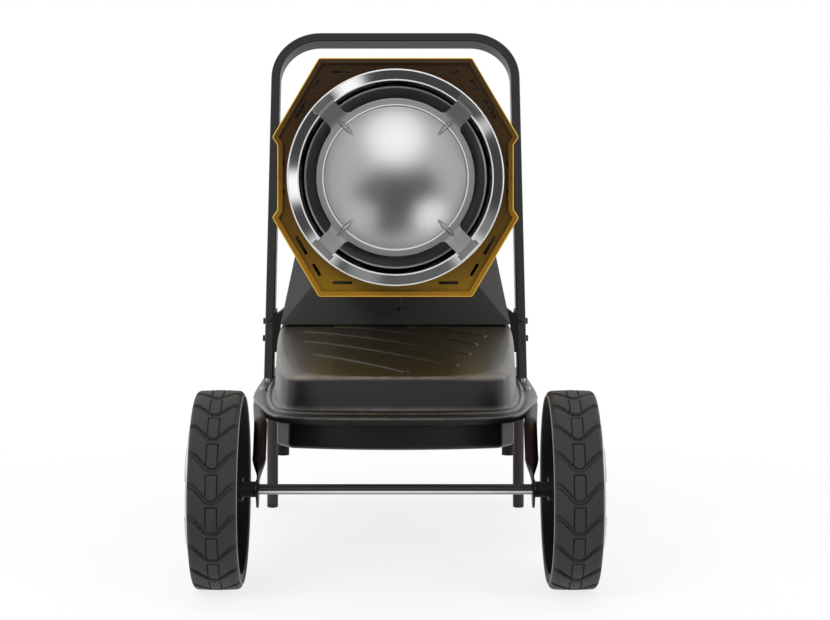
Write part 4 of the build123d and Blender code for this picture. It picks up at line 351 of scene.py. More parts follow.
# ochre stove paint with painted shade, darkening it to brown towards the top
PANEL_PAINT = graded("panel_paint", UPWARD, PANEL_FOOT_Z, PANEL_HEAD_Z, (
    (0.0, (0.23, 0.125, 0.002)), (0.18, (0.15, 0.076, 0.002)), (0.5, (0.075, 0.034, 0.002)),
    (0.8, (0.036, 0.016, 0.002)), (1.0, (0.030, 0.013, 0.002)),
), 0.5, Specular_IOR_Level=0.22)
# black enamel: painted shade darkening the pan, painted pale highlights along the folds, and a roof painted
# lighter and olive for the light from above and the yellow housing's reflection
TANK_PAINT = graded("tank_paint", UPWARD, 0.19, 0.37, (
    (0.0, (0.006, 0.006, 0.006)), (0.34, (0.007, 0.007, 0.007)), (0.42, (0.014, 0.014, 0.014)),
    (1.0, (0.016, 0.016, 0.015)),
), 0.32, 420.0, 0.00012, Specular_IOR_Level=0.5, roof_painted_light=(0.038, 0.035, 0.024), painted_highlight_colour=(0.24, 0.22, 0.20))
CABINET_PAINT = coated(
    "cabinet_paint", (0.062, 0.062, 0.063), (0.050, 0.050, 0.051), 0.48, 420.0, 0.0001,
    Specular_IOR_Level=0.2,
)
HANDLE_PAINT = coated(
    "handle_paint", (0.020, 0.018, 0.018), (0.014, 0.013, 0.013), 0.32, 500.0, 0.00008,
    Specular_IOR_Level=0.35,
)
# painted shade and light: dark and reddish at the front legs under the tank, lighter grey towards the rear
# legs
FRAME_PAINT = graded("frame_paint", BACKWARD, AXLE_Y, AXLE_Y + 0.75, (
    (0.0, (0.011, 0.006, 0.006)), (0.3, (0.012, 0.008, 0.008)), (0.7, (0.022, 0.018, 0.017)),
    (1.0, (0.070, 0.060, 0.058)),
), 0.42, Specular_IOR_Level=0.15)
BRACKET_PAINT = coated(
    "bracket_paint", (0.014, 0.014, 0.014), (0.010, 0.010, 0.010), 0.40, 500.0, 0.00008,
    Specular_IOR_Level=0.25,
)
TYRE_RUBBER = coated("tyre_rubber", (0.030, 0.030, 0.031), (0.020, 0.020, 0.021), 0.62, 260.0, 0.0002)
# painted highlight: pale grey rubber for the thin ring on the tyre's inboard sidewall
RUBBER_PAINTED_HIGHLIGHT = coated("rubber_painted_highlight", (0.30, 0.30, 0.30), (0.20, 0.20, 0.20), 0.55, 260.0, 0.00005)
CAP_RUBBER = coated("cap_rubber", (0.026, 0.026, 0.026), (0.018, 0.018, 0.018), 0.68, 300.0, 0.0002)
RIM_PLASTIC = coated(
    "rim_plastic", (0.011, 0.011, 0.011), (0.007, 0.007, 0.007), 0.50, 320.0, 0.0002, Specular_IOR_Level=0.3,
)
TRIM_SILVER = coated(
    "trim_silver", (0.55, 0.55, 0.56), (0.50, 0.50, 0.51), 0.30, 900.0, 0.00003, Metallic=0.6,
)
BLACK_PLASTIC = coated("black_plastic", (0.020, 0.020, 0.021), (0.014, 0.014, 0.015), 0.45, 380.0, 0.0002)
RED_PLASTIC = coated("red_plastic", (0.52, 0.012, 0.010), (0.42, 0.010, 0.008), 0.30, 380.0, 0.0001)
BOARD_GREEN = coated("board_green", (0.015, 0.12, 0.040), (0.012, 0.09, 0.030), 0.35, 200.0, 0.0001)
MOTOR_PAINT = coated("motor_paint", (0.16, 0.17, 0.18), (0.12, 0.125, 0.13), 0.45, 300.0, 0.0002)
GLAZED_CERAMIC = coated("glazed_ceramic", (0.80, 0.78, 0.72), (0.74, 0.71, 0.64), 0.18, 200.0, 0.00002)
FILTER_FOAM = coated("filter_foam", (0.42, 0.36, 0.20), (0.33, 0.28, 0.15), 0.95, 900.0, 0.0012)
OUTLET_STEEL = metal(
    "outlet_steel", (0.62, 0.62, 0.62), (0.48, 0.46, 0.43), 0.13, stain_amount=0.1, depth=0.00001,
    spread=0.04,
)
# painted highlight: near-white steel for the outlet's beads and the diffuser's step and cut edges, standing
# in for the light they catch
BEAD_PAINTED_HIGHLIGHT = metal("bead_painted_highlight", (0.93, 0.93, 0.93), (0.85, 0.84, 0.82), 0.5, depth=0.00001, Metallic=0.6)
DISC_STEEL = diffuser_steel("disc_steel")
ROLLED = (1.0, 8.0, 1.0)
CHAMBER_STEEL = metal(
    "chamber_steel", (0.55, 0.55, 0.55), (0.42, 0.41, 0.40), 0.55, ROLLED, 0.4, Metallic=0.25,
)
SHIELD_STEEL = metal("shield_steel", (0.60, 0.60, 0.60), (0.46, 0.46, 0.46), 0.5, ROLLED, 0.4, Metallic=0.3)
GALVANISED = metal("galvanised", (0.50, 0.51, 0.52), (0.40, 0.41, 0.42), 0.42, stain_amount=0.5)
ZINC = metal("zinc_plate", (0.60, 0.60, 0.59), (0.44, 0.42, 0.38), 0.30, stain_amount=0.3)
BLACK_ZINC = metal("black_zinc", (0.10, 0.10, 0.10), (0.06, 0.06, 0.06), 0.35, stain_amount=0.3)
CAST_ALUMINIUM = metal("cast_aluminium", (0.66, 0.66, 0.67), (0.55, 0.55, 0.56), 0.45, stain_amount=0.4)
BRASS = metal("plain_brass", (0.66, 0.44, 0.16), (0.40, 0.26, 0.11), 0.30, stain_amount=0.4)
# a rod with a painted reflection: black above where it would mirror the tank, a bright band and grey below
# where it would mirror the floor
AXLE_STEEL = graded("axle_steel", UPWARD, AXLE_Z - 0.008, AXLE_Z + 0.008, (
    (0.0, (0.34, 0.34, 0.34)), (0.2, (0.38, 0.38, 0.38)), (0.26, (0.95, 0.95, 0.95)),
    (0.37, (0.95, 0.95, 0.95)), (0.43, (0.05, 0.05, 0.05)), (0.48, (0.014, 0.014, 0.014)),
    (1.0, (0.012, 0.012, 0.012)),
), 0.35, Specular_IOR_Level=0.4)
CLEAR = clear_glass("clear_window", (0.80, 0.84, 0.84), 0.12)

FINISHES = {
    "left_tyre": TYRE_RUBBER, "right_tyre": TYRE_RUBBER,
    "left_rim": RIM_PLASTIC, "right_rim": RIM_PLASTIC,
    "left_wheel_trim": TRIM_SILVER, "right_wheel_trim": TRIM_SILVER,
    "axle": AXLE_STEEL, "axle_fasteners": BLACK_ZINC,
    "left_frame_tube": FRAME_PAINT, "right_frame_tube": FRAME_PAINT, "leg_caps": CAP_RUBBER,
    "handle_hoop": HANDLE_PAINT, "handle_bolts": BLACK_ZINC,
    "tank_top": TANK_PAINT, "tank_bottom": TANK_PAINT, "flange_bolts": ZINC, "tank_studs": CAP_RUBBER,
    "drain_plug": ZINC, "filler_neck": ZINC, "filler_strainer": GALVANISED, "fuel_cap": BLACK_PLASTIC,
    "fuel_gauge": BLACK_PLASTIC, "gauge_lens": CLEAR, "fuel_pickup": BRASS,
    "upper_shell": HOUSING_PAINT, "lower_shell": HOUSING_PAINT, "shell_screws": ZINC,
    "front_panel": PANEL_PAINT, "rear_guard": BLACK_PLASTIC, "outlet_ring": OUTLET_STEEL,
    "flame_diffuser": DISC_STEEL, "combustion_chamber": CHAMBER_STEEL, "heat_shield": SHIELD_STEEL,
    "burner_head": CHAMBER_STEEL, "fuel_nozzle": BRASS, "spark_electrodes": GLAZED_CERAMIC,
    "photocell": BLACK_PLASTIC, "fan_shroud": GALVANISED, "fan_blades": CAST_ALUMINIUM,
    "fan_motor": MOTOR_PAINT, "motor_shaft": ZINC, "motor_mount": GALVANISED,
    "pump_body": CAST_ALUMINIUM, "pump_rotor": BLACK_PLASTIC, "pump_end_cover": CAST_ALUMINIUM,
    "air_filter": FILTER_FOAM, "pressure_gauge": BRASS, "cabinet": CABINET_PAINT,
    "side_brackets": BRACKET_PAINT, "control_panel": BLACK_PLASTIC, "display_window": CLEAR,
    "thermostat_knob": BLACK_PLASTIC, "thermostat_body": ZINC, "reset_button": RED_PLASTIC,
    "switch_housing": BLACK_PLASTIC, "power_switch": RED_PLASTIC, "power_inlet": BLACK_PLASTIC,
    "control_board": BOARD_GREEN, "ignition_transformer": MOTOR_PAINT, "fuel_line": BLACK_PLASTIC,
}
for node_name, node_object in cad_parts.items():
    for place in node_object.material_slots:
        place.material = FINISHES[node_name]


# ================================================================ mesh helpers
MM = 0.001
WELD, TREAD_WELD = 0.00002, 0.00005
SHEET_T = 1.5 * MM


def mesh_piece(bm, name, body, materials, replaced=(), crease=35.0):
    """Welds, turns outward, smooths and hangs a finished bmesh on its body."""
    bmesh.ops.remove_doubles(bm, verts=bm.verts, dist=WELD)
    bmesh.ops.recalc_face_normals(bm, faces=bm.faces)
    for face in bm.faces:
        face.smooth = True
    limit = radians(crease)
    for edge in bm.edges:
        edge.smooth = edge.calc_face_angle(0.0) < limit
    mesh = bpy.data.meshes.new(name)
    bm.to_mesh(mesh)
    bm.free()
    for material in materials:
        mesh.materials.append(material)
    piece = bpy.data.objects.new(name, mesh)
    bpy.context.scene.collection.objects.link(piece)
    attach(piece, body)
    if replaced:
        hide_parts(*replaced)
    return piece


def loop_of(bm, points):
    """Vertices joined in a closed loop, ready for spin or extrude."""
    verts = [bm.verts.new(point) for point in points]
    edges = [bm.edges.new(pair) for pair in zip(verts, verts[1:] + verts[:1])]
    return verts + edges


def outline_of_sheet(line, thick):
    """The closed outline of a sheet whose seen side follows a line of (radius, y) points."""
    back = []
    for index, point in enumerate(line):
        before, after = line[max(index - 1, 0)], line[min(index + 1, len(line) - 1)]
        run = Vector((after[0] - before[0], after[1] - before[1])).normalized()
        back.append((point[0] - run.y * thick, point[1] + run.x * thick))
    return list(line) + back[::-1]


OUTLET_STEPS, SIDEWALL_STEPS = 240, 160


def full_spin(bm, outline, centre, axis, steps):
    """Turns a closed outline a full turn."""
    bmesh.ops.spin(
        bm, geom=loop_of(bm, outline), cent=centre, axis=axis, dvec=(0, 0, 0), angle=2 * pi,
        steps=steps, use_merge=True, use_duplicate=False,
    )


def spin_about_outlet(bm, outline):
    """Turns an outline of (radius, y) points about the outlet's axis."""
    full_spin(bm, [(radius, y, BODY_Z) for radius, y in outline], (0, 0, BODY_Z), BACKWARD, OUTLET_STEPS)


def edges_of(items):
    return [item for item in items if isinstance(item, bmesh.types.BMEdge)]


def next_ring(bm, loop):
    """Extrudes a closed loop of edges in place; gives the new vertices and the new loop."""
    drawn = bmesh.ops.extrude_edge_only(bm, edges=loop)["geom"]
    fresh = {item for item in drawn if isinstance(item, bmesh.types.BMVert)}
    return fresh, [edge for edge in edges_of(drawn) if set(edge.verts) <= fresh]


def thicken(piece):
    """Gives an open sheet its thickness behind the seen side."""
    wall = piece.modifiers.new("wall", "SOLIDIFY")
    wall.thickness = SHEET_T
    wall.offset = -1.0


def arc_points(centre, radius, start, stop, count):
    """Points of an arc, its turns in degrees, as pairs."""
    turns = [radians(start + (stop - start) * step / count) for step in range(count + 1)]
    return [(centre[0] + radius * cos(turn), centre[1] + radius * sin(turn)) for turn in turns]


def bead_section(centre, radius):
    """Twelve points round a bead."""
    return arc_points(centre, radius, 0, 330, 11)


def smooth_step(low, high, value):
    share = min(max((value - low) / (high - low), 0.0), 1.0)
    return share * share * (3 - 2 * share)


# ================================================================ outlet ring
BEND_Y = BODY_FRONT_Y - 2 * MM
OUTLET_NECK_R, OUTLET_LIP_R, OUTLET_REACH = 146 * MM, 161 * MM, 18 * MM
FLARE_TILT = radians(27.0)
FLARE_BEND_R = 3.5 * MM
LIP_BEAD_R, BEND_BEAD_R = 1.6 * MM, 1.4 * MM
CONE_R = OUTLET_NECK_R + FLARE_BEND_R * (1 - sin(FLARE_TILT))
CONE_Y = BEND_Y - OUTLET_REACH + (OUTLET_LIP_R - CONE_R) * tan(FLARE_TILT)


def cone_y(radius):
    """Where the flare's seen side lies at a radius."""
    return CONE_Y - (radius - CONE_R) * tan(FLARE_TILT)


def build_outlet_ring():
    """Polished neck with a flared front edge, and the bright beads rolled round its bend and lip."""
    rear_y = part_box("outlet_ring")[1][1]
    bend_y = CONE_Y + FLARE_BEND_R * cos(FLARE_TILT)
    neck = [(OUTLET_NECK_R, rear_y + (bend_y - rear_y) * step / 8) for step in range(8)]
    centre = (OUTLET_NECK_R + FLARE_BEND_R, bend_y)
    bend = arc_points(centre, FLARE_BEND_R, 180, 270 - degrees(FLARE_TILT), 8)
    widths = [CONE_R + (OUTLET_LIP_R - CONE_R) * step / 6 for step in range(1, 7)]
    cone = [(radius, cone_y(radius)) for radius in widths]
    bm = bmesh.new()
    spin_about_outlet(bm, outline_of_sheet(neck + bend + cone, -SHEET_T))
    ring = mesh_piece(bm, "flared_outlet", "heater", [OUTLET_STEEL], ["outlet_ring"])
    bm = bmesh.new()
    spin_about_outlet(bm, bead_section((OUTLET_LIP_R, cone_y(OUTLET_LIP_R) + 0.9 * MM), LIP_BEAD_R))
    spin_about_outlet(bm, bead_section((OUTLET_NECK_R + 0.5 * MM, CONE_Y - 0.2 * MM), BEND_BEAD_R))
    # painted highlight: the beads take the near-white finish
    beads = mesh_piece(bm, "outlet_beads", "heater", [BEAD_PAINTED_HIGHLIGHT])


# ================================================================ flame diffuser
PLATE_Y = BODY_FRONT_Y - 12 * MM
DISC_R, STEP_R, STEP_FOOT_R = 118.5 * MM, 108.5 * MM, 106.5 * MM
ARM_END_R, ARM_HALF_W = 157.7 * MM, 15.3 * MM
TAB_START_R, TAB_HALF_W = 149.5 * MM, 18.4 * MM
ARM_ROOT_R = 9 * MM
DOME_RISE, STEP_DROP, RIM_RISE = 15 * MM, 4 * MM, 0.6 * MM
RIM_Y = PLATE_Y + RIM_RISE
RIM_BLEND = 3 * MM
# how far the arms and the tabs on them stand before the flare
ARM_LAP, TAB_LAP = 1.3 * SHEET_T, 2.1 * SHEET_T
DOME_R = (STEP_FOOT_R ** 2 + (DOME_RISE + STEP_DROP) ** 2) / (2 * (DOME_RISE + STEP_DROP))
ARM_TURNS = (45, 135, 225, 315)
RIM_RINGS, DOME_RINGS = 16, 26
# painted highlight: the band round the diffuser's step that takes the near-white finish
BRIGHT_EDGE = (STEP_R - 0.45 * MM, STEP_R + 1.2 * MM)
RIB_IN_R, RIB_OUT_R, RIB_HALF_W, RIB_RISE = 87 * MM, 126 * MM, 3.6 * MM, 6 * MM


def diffuser_y(radius):
    """Front face of the diffuser: domed middle, step, flat rim, then folded along the flare."""
    if radius <= STEP_FOOT_R:
        return PLATE_Y - DOME_RISE + DOME_R - sqrt(DOME_R ** 2 - radius ** 2)
    if radius < STEP_R:
        return RIM_Y + (STEP_DROP - RIM_RISE) * (1 - smooth_step(STEP_FOOT_R, STEP_R, radius))
    if radius > CONE_R:
        return cone_y(radius) - ARM_LAP
    share = max(radius - DISC_R - RIM_BLEND, 0.0) / (CONE_R - DISC_R - RIM_BLEND)
    return RIM_Y + share * (cone_y(CONE_R) - ARM_LAP - RIM_Y)


def arm_outline():
    """The diffuser's edge from the middle of one arm to halfway to the next, in the arm's frame."""
    root_x = sqrt((DISC_R + ARM_ROOT_R) ** 2 - (ARM_HALF_W + ARM_ROOT_R) ** 2)
    root_y = ARM_HALF_W + ARM_ROOT_R
    rim_turn = degrees(atan2(root_y, root_x))
    across = [(ARM_END_R, ARM_HALF_W * step / 5) for step in range(5)]
    side = [(ARM_END_R + (root_x - ARM_END_R) * step / 8, ARM_HALF_W) for step in range(8)]
    root = arc_points((root_x, root_y), ARM_ROOT_R, 270, 180 + rim_turn, 9)
    rim = arc_points((0, 0), DISC_R, rim_turn, 45, 16)[1:]
    return across + side + root + rim


def build_diffuser():
    """Domed disc with a stepped rim and four arms, drawn in ring by ring from its outline."""
    half = arm_outline()
    whole = [(x, -y) for x, y in half[1:-1]][::-1] + half
    bm = bmesh.new()
    edge = []
    for turn in ARM_TURNS:
        for x, y in whole:
            reach, angle = sqrt(x * x + y * y), atan2(y, x) + radians(turn)
            edge.append((reach * cos(angle), diffuser_y(reach), BODY_Z + reach * sin(angle)))
    loop = edges_of(loop_of(bm, edge))
    outer_shares = [step / RIM_RINGS for step in range(RIM_RINGS - 1, 2, -1)]
    inner_radii = [STEP_R + drop * MM for drop in (1.2, 0, -0.5, -1, -1.5)] + [STEP_FOOT_R]
    inner_radii += [STEP_FOOT_R * (1 - step / DOME_RINGS) for step in range(1, DOME_RINGS)]
    share = 1.0
    for target in outer_shares + inner_radii:
        fresh, loop = next_ring(bm, loop)
        for vert in fresh:
            across, up = vert.co.x, vert.co.z - BODY_Z
            radius = sqrt(across * across + up * up)
            if target in inner_radii:
                reach = target
            else:
                reach = STEP_R + (radius - STEP_R) * target / share
            vert.co = (across * reach / radius, diffuser_y(reach), BODY_Z + up * reach / radius)
        share = target
    bmesh.ops.contextual_create(bm, geom=loop)
    disc = mesh_piece(bm, "flame_disc", "heater", [DISC_STEEL, BEAD_PAINTED_HIGHLIGHT], ["flame_diffuser"], 25.0)
    for polygon in disc.data.polygons:
        reach = sqrt(polygon.center.x ** 2 + (polygon.center.z - BODY_Z) ** 2)
        if BRIGHT_EDGE[0] < reach < BRIGHT_EDGE[1]:
            polygon.material_index = 1
    # painted highlight: the bevelled cut edges take the near-white finish too
    add_wall(disc, 0.7 * MM, 1)


def add_wall(piece, rounding, edge_material=-1):
    """Gives a sheet its thickness and softens its cut edges."""
    thicken(piece)
    edge = piece.modifiers.new("edge", "BEVEL")
    edge.width = rounding
    edge.segments = 2
    edge.limit_method = "ANGLE"
    edge.angle_limit = radians(50)
    edge.material = edge_material


def build_diffuser_details():
    """Pinched ribs across the arm roots, and the wider welded tabs at the arm ends."""
    ribs, tabs = bmesh.new(), bmesh.new()
    middle, half_len = (RIB_IN_R + RIB_OUT_R) / 2, (RIB_OUT_R - RIB_IN_R) / 2
    for turn in ARM_TURNS:
        spin = Matrix.Rotation(radians(-turn), 4, "Y")
        place = Matrix.Translation((0, 0, BODY_Z)) @ spin
        rib = bmesh.ops.create_uvsphere(ribs, u_segments=24, v_segments=12, radius=1.0)["verts"]
        for vert in rib:
            along, up, across = vert.co.z, vert.co.x, vert.co.y
            width = max(1 - along * along, 0.0) ** 0.5
            ridge = abs(up) ** 1.5 * (1 if up > 0 else -1)
            vert.co = (
                middle + half_len * along,
                PLATE_Y - 0.8 * MM - RIB_RISE * ridge * width,
                RIB_HALF_W * across * width,
            )
        bmesh.ops.transform(ribs, matrix=place, verts=rib)
        tab = bmesh.ops.create_grid(tabs, x_segments=8, y_segments=12, size=1.0)["verts"]
        for vert in tab:
            radius = TAB_START_R + (ARM_END_R - TAB_START_R) * (vert.co.x + 1) / 2
            vert.co = (radius, cone_y(radius) - TAB_LAP, TAB_HALF_W * vert.co.y)
        bmesh.ops.transform(tabs, matrix=place, verts=tab)
    for bm, name in ((ribs, "diffuser_ribs"), (tabs, "diffuser_tabs")):
        piece = mesh_piece(bm, name, "heater", [DISC_STEEL], (), 40.0)
        if name == "diffuser_tabs":
            add_wall(piece, 0.4 * MM)


# ================================================================ tyres
WHEEL_R, RIM_SEAT_R = 152.5 * MM, 133.5 * MM
TYRE_HALF_W, TYRE_FLAT, SHOULDER_R = 36.5 * MM, 28.5 * MM, 8 * MM
CROWN_DROP = 1.6 * MM
TREAD_PITCHES = 20
PITCH = 2 * pi * WHEEL_R / TREAD_PITCHES
GROOVE_TURN = radians(47.0)
GROOVE_ARC_R, GROOVE_ARC_T, GROOVE_HALF_W, GROOVE_DEPTH = 11.6 * MM, 20.5 * MM, 3.1 * MM, 4.4 * MM
BLOCK_HALF_W, SIPE_HALF_W, SIPE_DEPTH = 8.5 * MM, 0.9 * MM, 3.2 * MM
BLOCK_TOP_T = PITCH + 2.4 * MM
TREAD_PHASE = -5.5 * MM
SHOULDER_SPAN = SHOULDER_R * pi / 2
# past the bend a groove runs flatter, and the tread fades out over the shoulder
GROOVE_BEND, BEND_SHARE = 27 * MM, 0.35
TREAD_END, TREAD_GONE = TYRE_FLAT + 5 * MM, TYRE_FLAT + 11 * MM
SIDEWALL_RING_R, SIDEWALL_BEAD_R = 143.5 * MM, 1.1


def tyre_section(reach):
    """Point (x, radius) and outward direction of the tyre's outside at a distance round its section."""
    side = 1 if reach > 0 else -1
    span = abs(reach)
    crown = WHEEL_R - CROWN_DROP * (min(span, TYRE_FLAT) / TYRE_HALF_W) ** 2
    if span <= TYRE_FLAT:
        return reach, crown, 0.0, 1.0
    if span <= TYRE_FLAT + SHOULDER_SPAN:
        turn = (span - TYRE_FLAT) / SHOULDER_R
        x = TYRE_FLAT + SHOULDER_R * sin(turn)
        return side * x, crown - SHOULDER_R * (1 - cos(turn)), side * sin(turn), cos(turn)
    down = span - TYRE_FLAT - SHOULDER_SPAN
    waist = 1.4 * MM * smooth_step(0, 2 * MM, down) * (1 - smooth_step(5.5 * MM, 7 * MM, down))
    return side * (TYRE_HALF_W - waist), max(crown - SHOULDER_R - down, RIM_SEAT_R), side, 0.0


def pressed(away, half_w, depth, inner, outer):
    """Depth of a groove at a distance from its middle; its walls lie between two shares of its half width."""
    return depth * (1 - smooth_step(inner * half_w, outer * half_w, away))


def tread_cut(reach, run):
    """Depth of the tread pattern at a distance from the middle and a distance up the wheel."""
    across = abs(reach)
    spread = across if across < GROOVE_BEND else GROOVE_BEND + (across - GROOVE_BEND) * BEND_SHARE
    cut = 0.0
    for turn in (-1, 0, 1):
        up = run - turn * PITCH
        rise = up - GROOVE_ARC_T
        along = spread * cos(GROOVE_TURN) + rise * sin(GROOVE_TURN)
        if along > 0:
            away = abs(spread * sin(GROOVE_TURN) - rise * cos(GROOVE_TURN) - GROOVE_ARC_R)
        else:
            away = abs(sqrt(spread * spread + rise * rise) - GROOVE_ARC_R)
        cut = max(cut, pressed(away, GROOVE_HALF_W, GROOVE_DEPTH, 0.8, 1.1))
        if -4 * MM < rise < BLOCK_TOP_T - GROOVE_ARC_T:
            cut = max(cut, pressed(abs(across - BLOCK_HALF_W), SIPE_HALF_W, SIPE_DEPTH, 0.5, 1.2))
        if across < BLOCK_HALF_W:
            cut = max(cut, pressed(abs(up - BLOCK_TOP_T), SIPE_HALF_W, SIPE_DEPTH, 0.5, 1.2))
    return cut * (1 - smooth_step(TREAD_END, TREAD_GONE, across))


def spaced(stops):
    """Places between stops given as (place, steps to it)."""
    places = [stops[0][0]]
    for (start, _), (stop, count) in zip(stops, stops[1:]):
        places += [start + (stop - start) * step / count for step in range(1, count + 1)]
    return places


def build_tyre(side, hand):
    """One pitch of tread, pressed into a grid and repeated round the wheel."""
    half = spaced((
        (0.0, 0), (7 * MM, 4), (10 * MM, 6), (TYRE_FLAT, 14), (TYRE_FLAT + SHOULDER_SPAN, 9),
        (TYRE_FLAT + SHOULDER_SPAN + 10.1 * MM, 9),
    ))
    columns = [-place for place in half[:0:-1]] + half
    rows = spaced(((0.0, 0), (1.4 * MM, 1), (3.4 * MM, 5), (PITCH, 37)))
    middle_x = (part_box(hand + "_tyre")[0][0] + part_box(hand + "_tyre")[1][0]) / 2
    bm = bmesh.new()
    grid = bmesh.ops.create_grid(bm, x_segments=len(columns) - 1, y_segments=len(rows) - 1, size=1.0)
    for vert in grid["verts"]:
        reach = columns[round((vert.co.x + 1) / 2 * (len(columns) - 1))]
        run = rows[round((vert.co.y + 1) / 2 * (len(rows) - 1))]
        x, radius, out_x, out_r = tyre_section(reach)
        cut = tread_cut(reach, run)
        radius -= out_r * cut
        turn = (run + TREAD_PHASE) / WHEEL_R
        vert.co = (middle_x + x - out_x * cut, AXLE_Y - radius * cos(turn), AXLE_Z + radius * sin(turn))
    step = 2 * pi / TREAD_PITCHES
    bmesh.ops.spin(
        bm, geom=bm.verts[:] + bm.edges[:] + bm.faces[:], cent=(0, AXLE_Y, AXLE_Z), axis=(-1, 0, 0),
        dvec=(0, 0, 0), angle=step * (TREAD_PITCHES - 1), steps=TREAD_PITCHES - 1, use_duplicate=True,
    )
    bmesh.ops.remove_doubles(bm, verts=bm.verts, dist=TREAD_WELD)
    rims = [edge for edge in bm.edges if edge.is_boundary]
    bmesh.ops.bridge_loops(bm, edges=rims)
    tyre = mesh_piece(bm, hand + "_tread", hand + "_wheel", [TYRE_RUBBER], [hand + "_tyre"], 50.0)
    bm = bmesh.new()
    inboard = middle_x - side * TYRE_HALF_W
    ring = [
        (inboard + across * MM, AXLE_Y, AXLE_Z + SIDEWALL_RING_R + up * MM)
        for across, up in bead_section((0, 0), SIDEWALL_BEAD_R)
    ]
    full_spin(bm, ring, (0, AXLE_Y, AXLE_Z), (1, 0, 0), SIDEWALL_STEPS)
    bead = mesh_piece(bm, hand + "_sidewall_ring", hand + "_wheel", [RUBBER_PAINTED_HIGHLIGHT])


# ================================================================ tank top
# half outlines, mm, from the front's middle to the rear's: distance out, distance behind the axle
FLANGE_PLAN = (
    (0, 46), (70, 47), (130, 52), (170, 63), (195, 88), (208, 125), (222, 200), (236, 280), (247, 360),
    (249.5, 450), (249.5, 650), (249.5, 830), (240, 880), (150, 890), (0, 890),
)
FOOT_PLAN = (
    (0, 90), (64, 92), (120, 98), (160, 109), (181, 130), (191, 160), (199, 215), (206, 300), (212, 410),
    (215, 520), (216, 650), (216, 790), (206, 845), (150, 856), (0, 856),
)
LIP_Z, FLANGE_Z, STEP_Z, ROOF_FRONT_Z, ROOF_TOP_Z = 246, 257, 261, 316.5, 366
ROOF_FRONT_BACK, ROOF_LEVEL_BACK, ROOF_MIDDLE_BACK = 94, 545, 470
# how much lower the roof's edge folds over at the sides; twice that at the front corners
CORNER_DROP = 3.5
ROOF_RIBS = (
    ((-140, 271), (-63, 214), (20, 128)),
    ((-158, 382), (-36, 309), (103, 175)),
    ((-164, 473), (-19, 400), (127, 268)),
    ((-110, 520), (0, 480), (142, 354)),
    ((20, 526), (95, 480), (160, 428)),
)
# across a rib, mm: distance from its middle, height over the roof
RIB_PROFILE = ((-5.2, -1.0), (-5.0, 0.2), (-3.2, 2.2), (0, 2.5), (3.2, 2.2), (5.0, 0.2), (5.2, -1.0))


def roof_z(back):
    """The roof rises towards the cabinet and is level under it."""
    slope = (ROOF_TOP_Z - ROOF_FRONT_Z) / (ROOF_LEVEL_BACK - ROOF_FRONT_BACK)
    return ROOF_TOP_Z - slope * max(ROOF_LEVEL_BACK - back, 0.0)


def whole_plan(half):
    return list(half) + [(-x, back) for x, back in half[-2:0:-1]]


def drawn_in(plan, inset, corner_more=0.0):
    """A plan moved inward, each point square to the run between its neighbours, and more at the sides."""
    moved = []
    for index, (x, back) in enumerate(plan):
        run = (Vector(plan[(index + 1) % len(plan)]) - Vector(plan[index - 1])).normalized()
        reach = inset + corner_more * corner_share(x, back)
        moved.append((x - run.y * reach, back + run.x * reach))
    return moved


def between(first, second, share):
    return [(x + (u - x) * share, b + (v - b) * share) for (x, b), (u, v) in zip(first, second)]


def level(plan, z):
    return [(x, back, z) for x, back in plan]


def corner_share(x, back):
    """0 along the front, 1 along the sides and 2 at the two front corners."""
    return smooth_step(90, 165, abs(x)) * (2 - smooth_step(180, 330, back))


def tank_top_rings():
    """Rings of the tank's top from the flange's lip up the wall and over the roof, each with how much painted
    highlight it takes.
    """
    flange, foot = whole_plan(FLANGE_PLAN), whole_plan(FOOT_PLAN)
    roof, skirt = drawn_in(foot, 4), drawn_in(foot, -5)
    # the second number of each ring is its painted highlight, pale along the lip, the step, the wall's foot
    # and the roof's fold
    rings = [(level(flange, LIP_Z), 0), (level(flange, 253), 0), (level(drawn_in(flange, 0.5), 256.3), 0.5)]
    rings += [(level(drawn_in(flange, 2.5), FLANGE_Z), 0), (level(between(flange, skirt, 0.68), FLANGE_Z), 0)]
    rings.append((level(between(flange, skirt, 0.74), FLANGE_Z), 0))
    rings.append((level(between(flange, skirt, 0.80), STEP_Z - 0.4), 0.4))
    rings += [(level(between(flange, skirt, 0.88), STEP_Z), 0), (level(skirt, STEP_Z), 0)]
    rings.append((level(drawn_in(foot, -1.5), STEP_Z + 0.8), 0))
    for share, painted_highlight in ((0.04, 0.35), (0.16, 0), (0.45, 0), (0.72, 0), (0.9, 0)):
        wall = between(foot, roof, share)
        drops = [CORNER_DROP * corner_share(x, back) * share for x, back in wall]
        heights = [STEP_Z + (roof_z(back) - STEP_Z) * share for _, back in wall]
        ring = [(x, back, height - drop) for (x, back), height, drop in zip(wall, heights, drops)]
        rings.append((ring, painted_highlight))
    rings.append(([(x, back, roof_z(back) - CORNER_DROP * corner_share(x, back)) for x, back in roof], 1.0))
    for inset in (5, 16):
        rings.append(([(x, back, roof_z(back)) for x, back in drawn_in(roof, inset, 8)], 0))
    for share in (0.65, 0.4, 0.15):
        inner = drawn_in(roof, 24, 6)
        plan = [(x * share, ROOF_MIDDLE_BACK + (back - ROOF_MIDDLE_BACK) * share) for x, back in inner]
        rings.append(([(x, back, roof_z(back)) for x, back in plan], 0))
    return rings


def from_axle(x, back, z):
    return x * MM, AXLE_Y + back * MM, z * MM


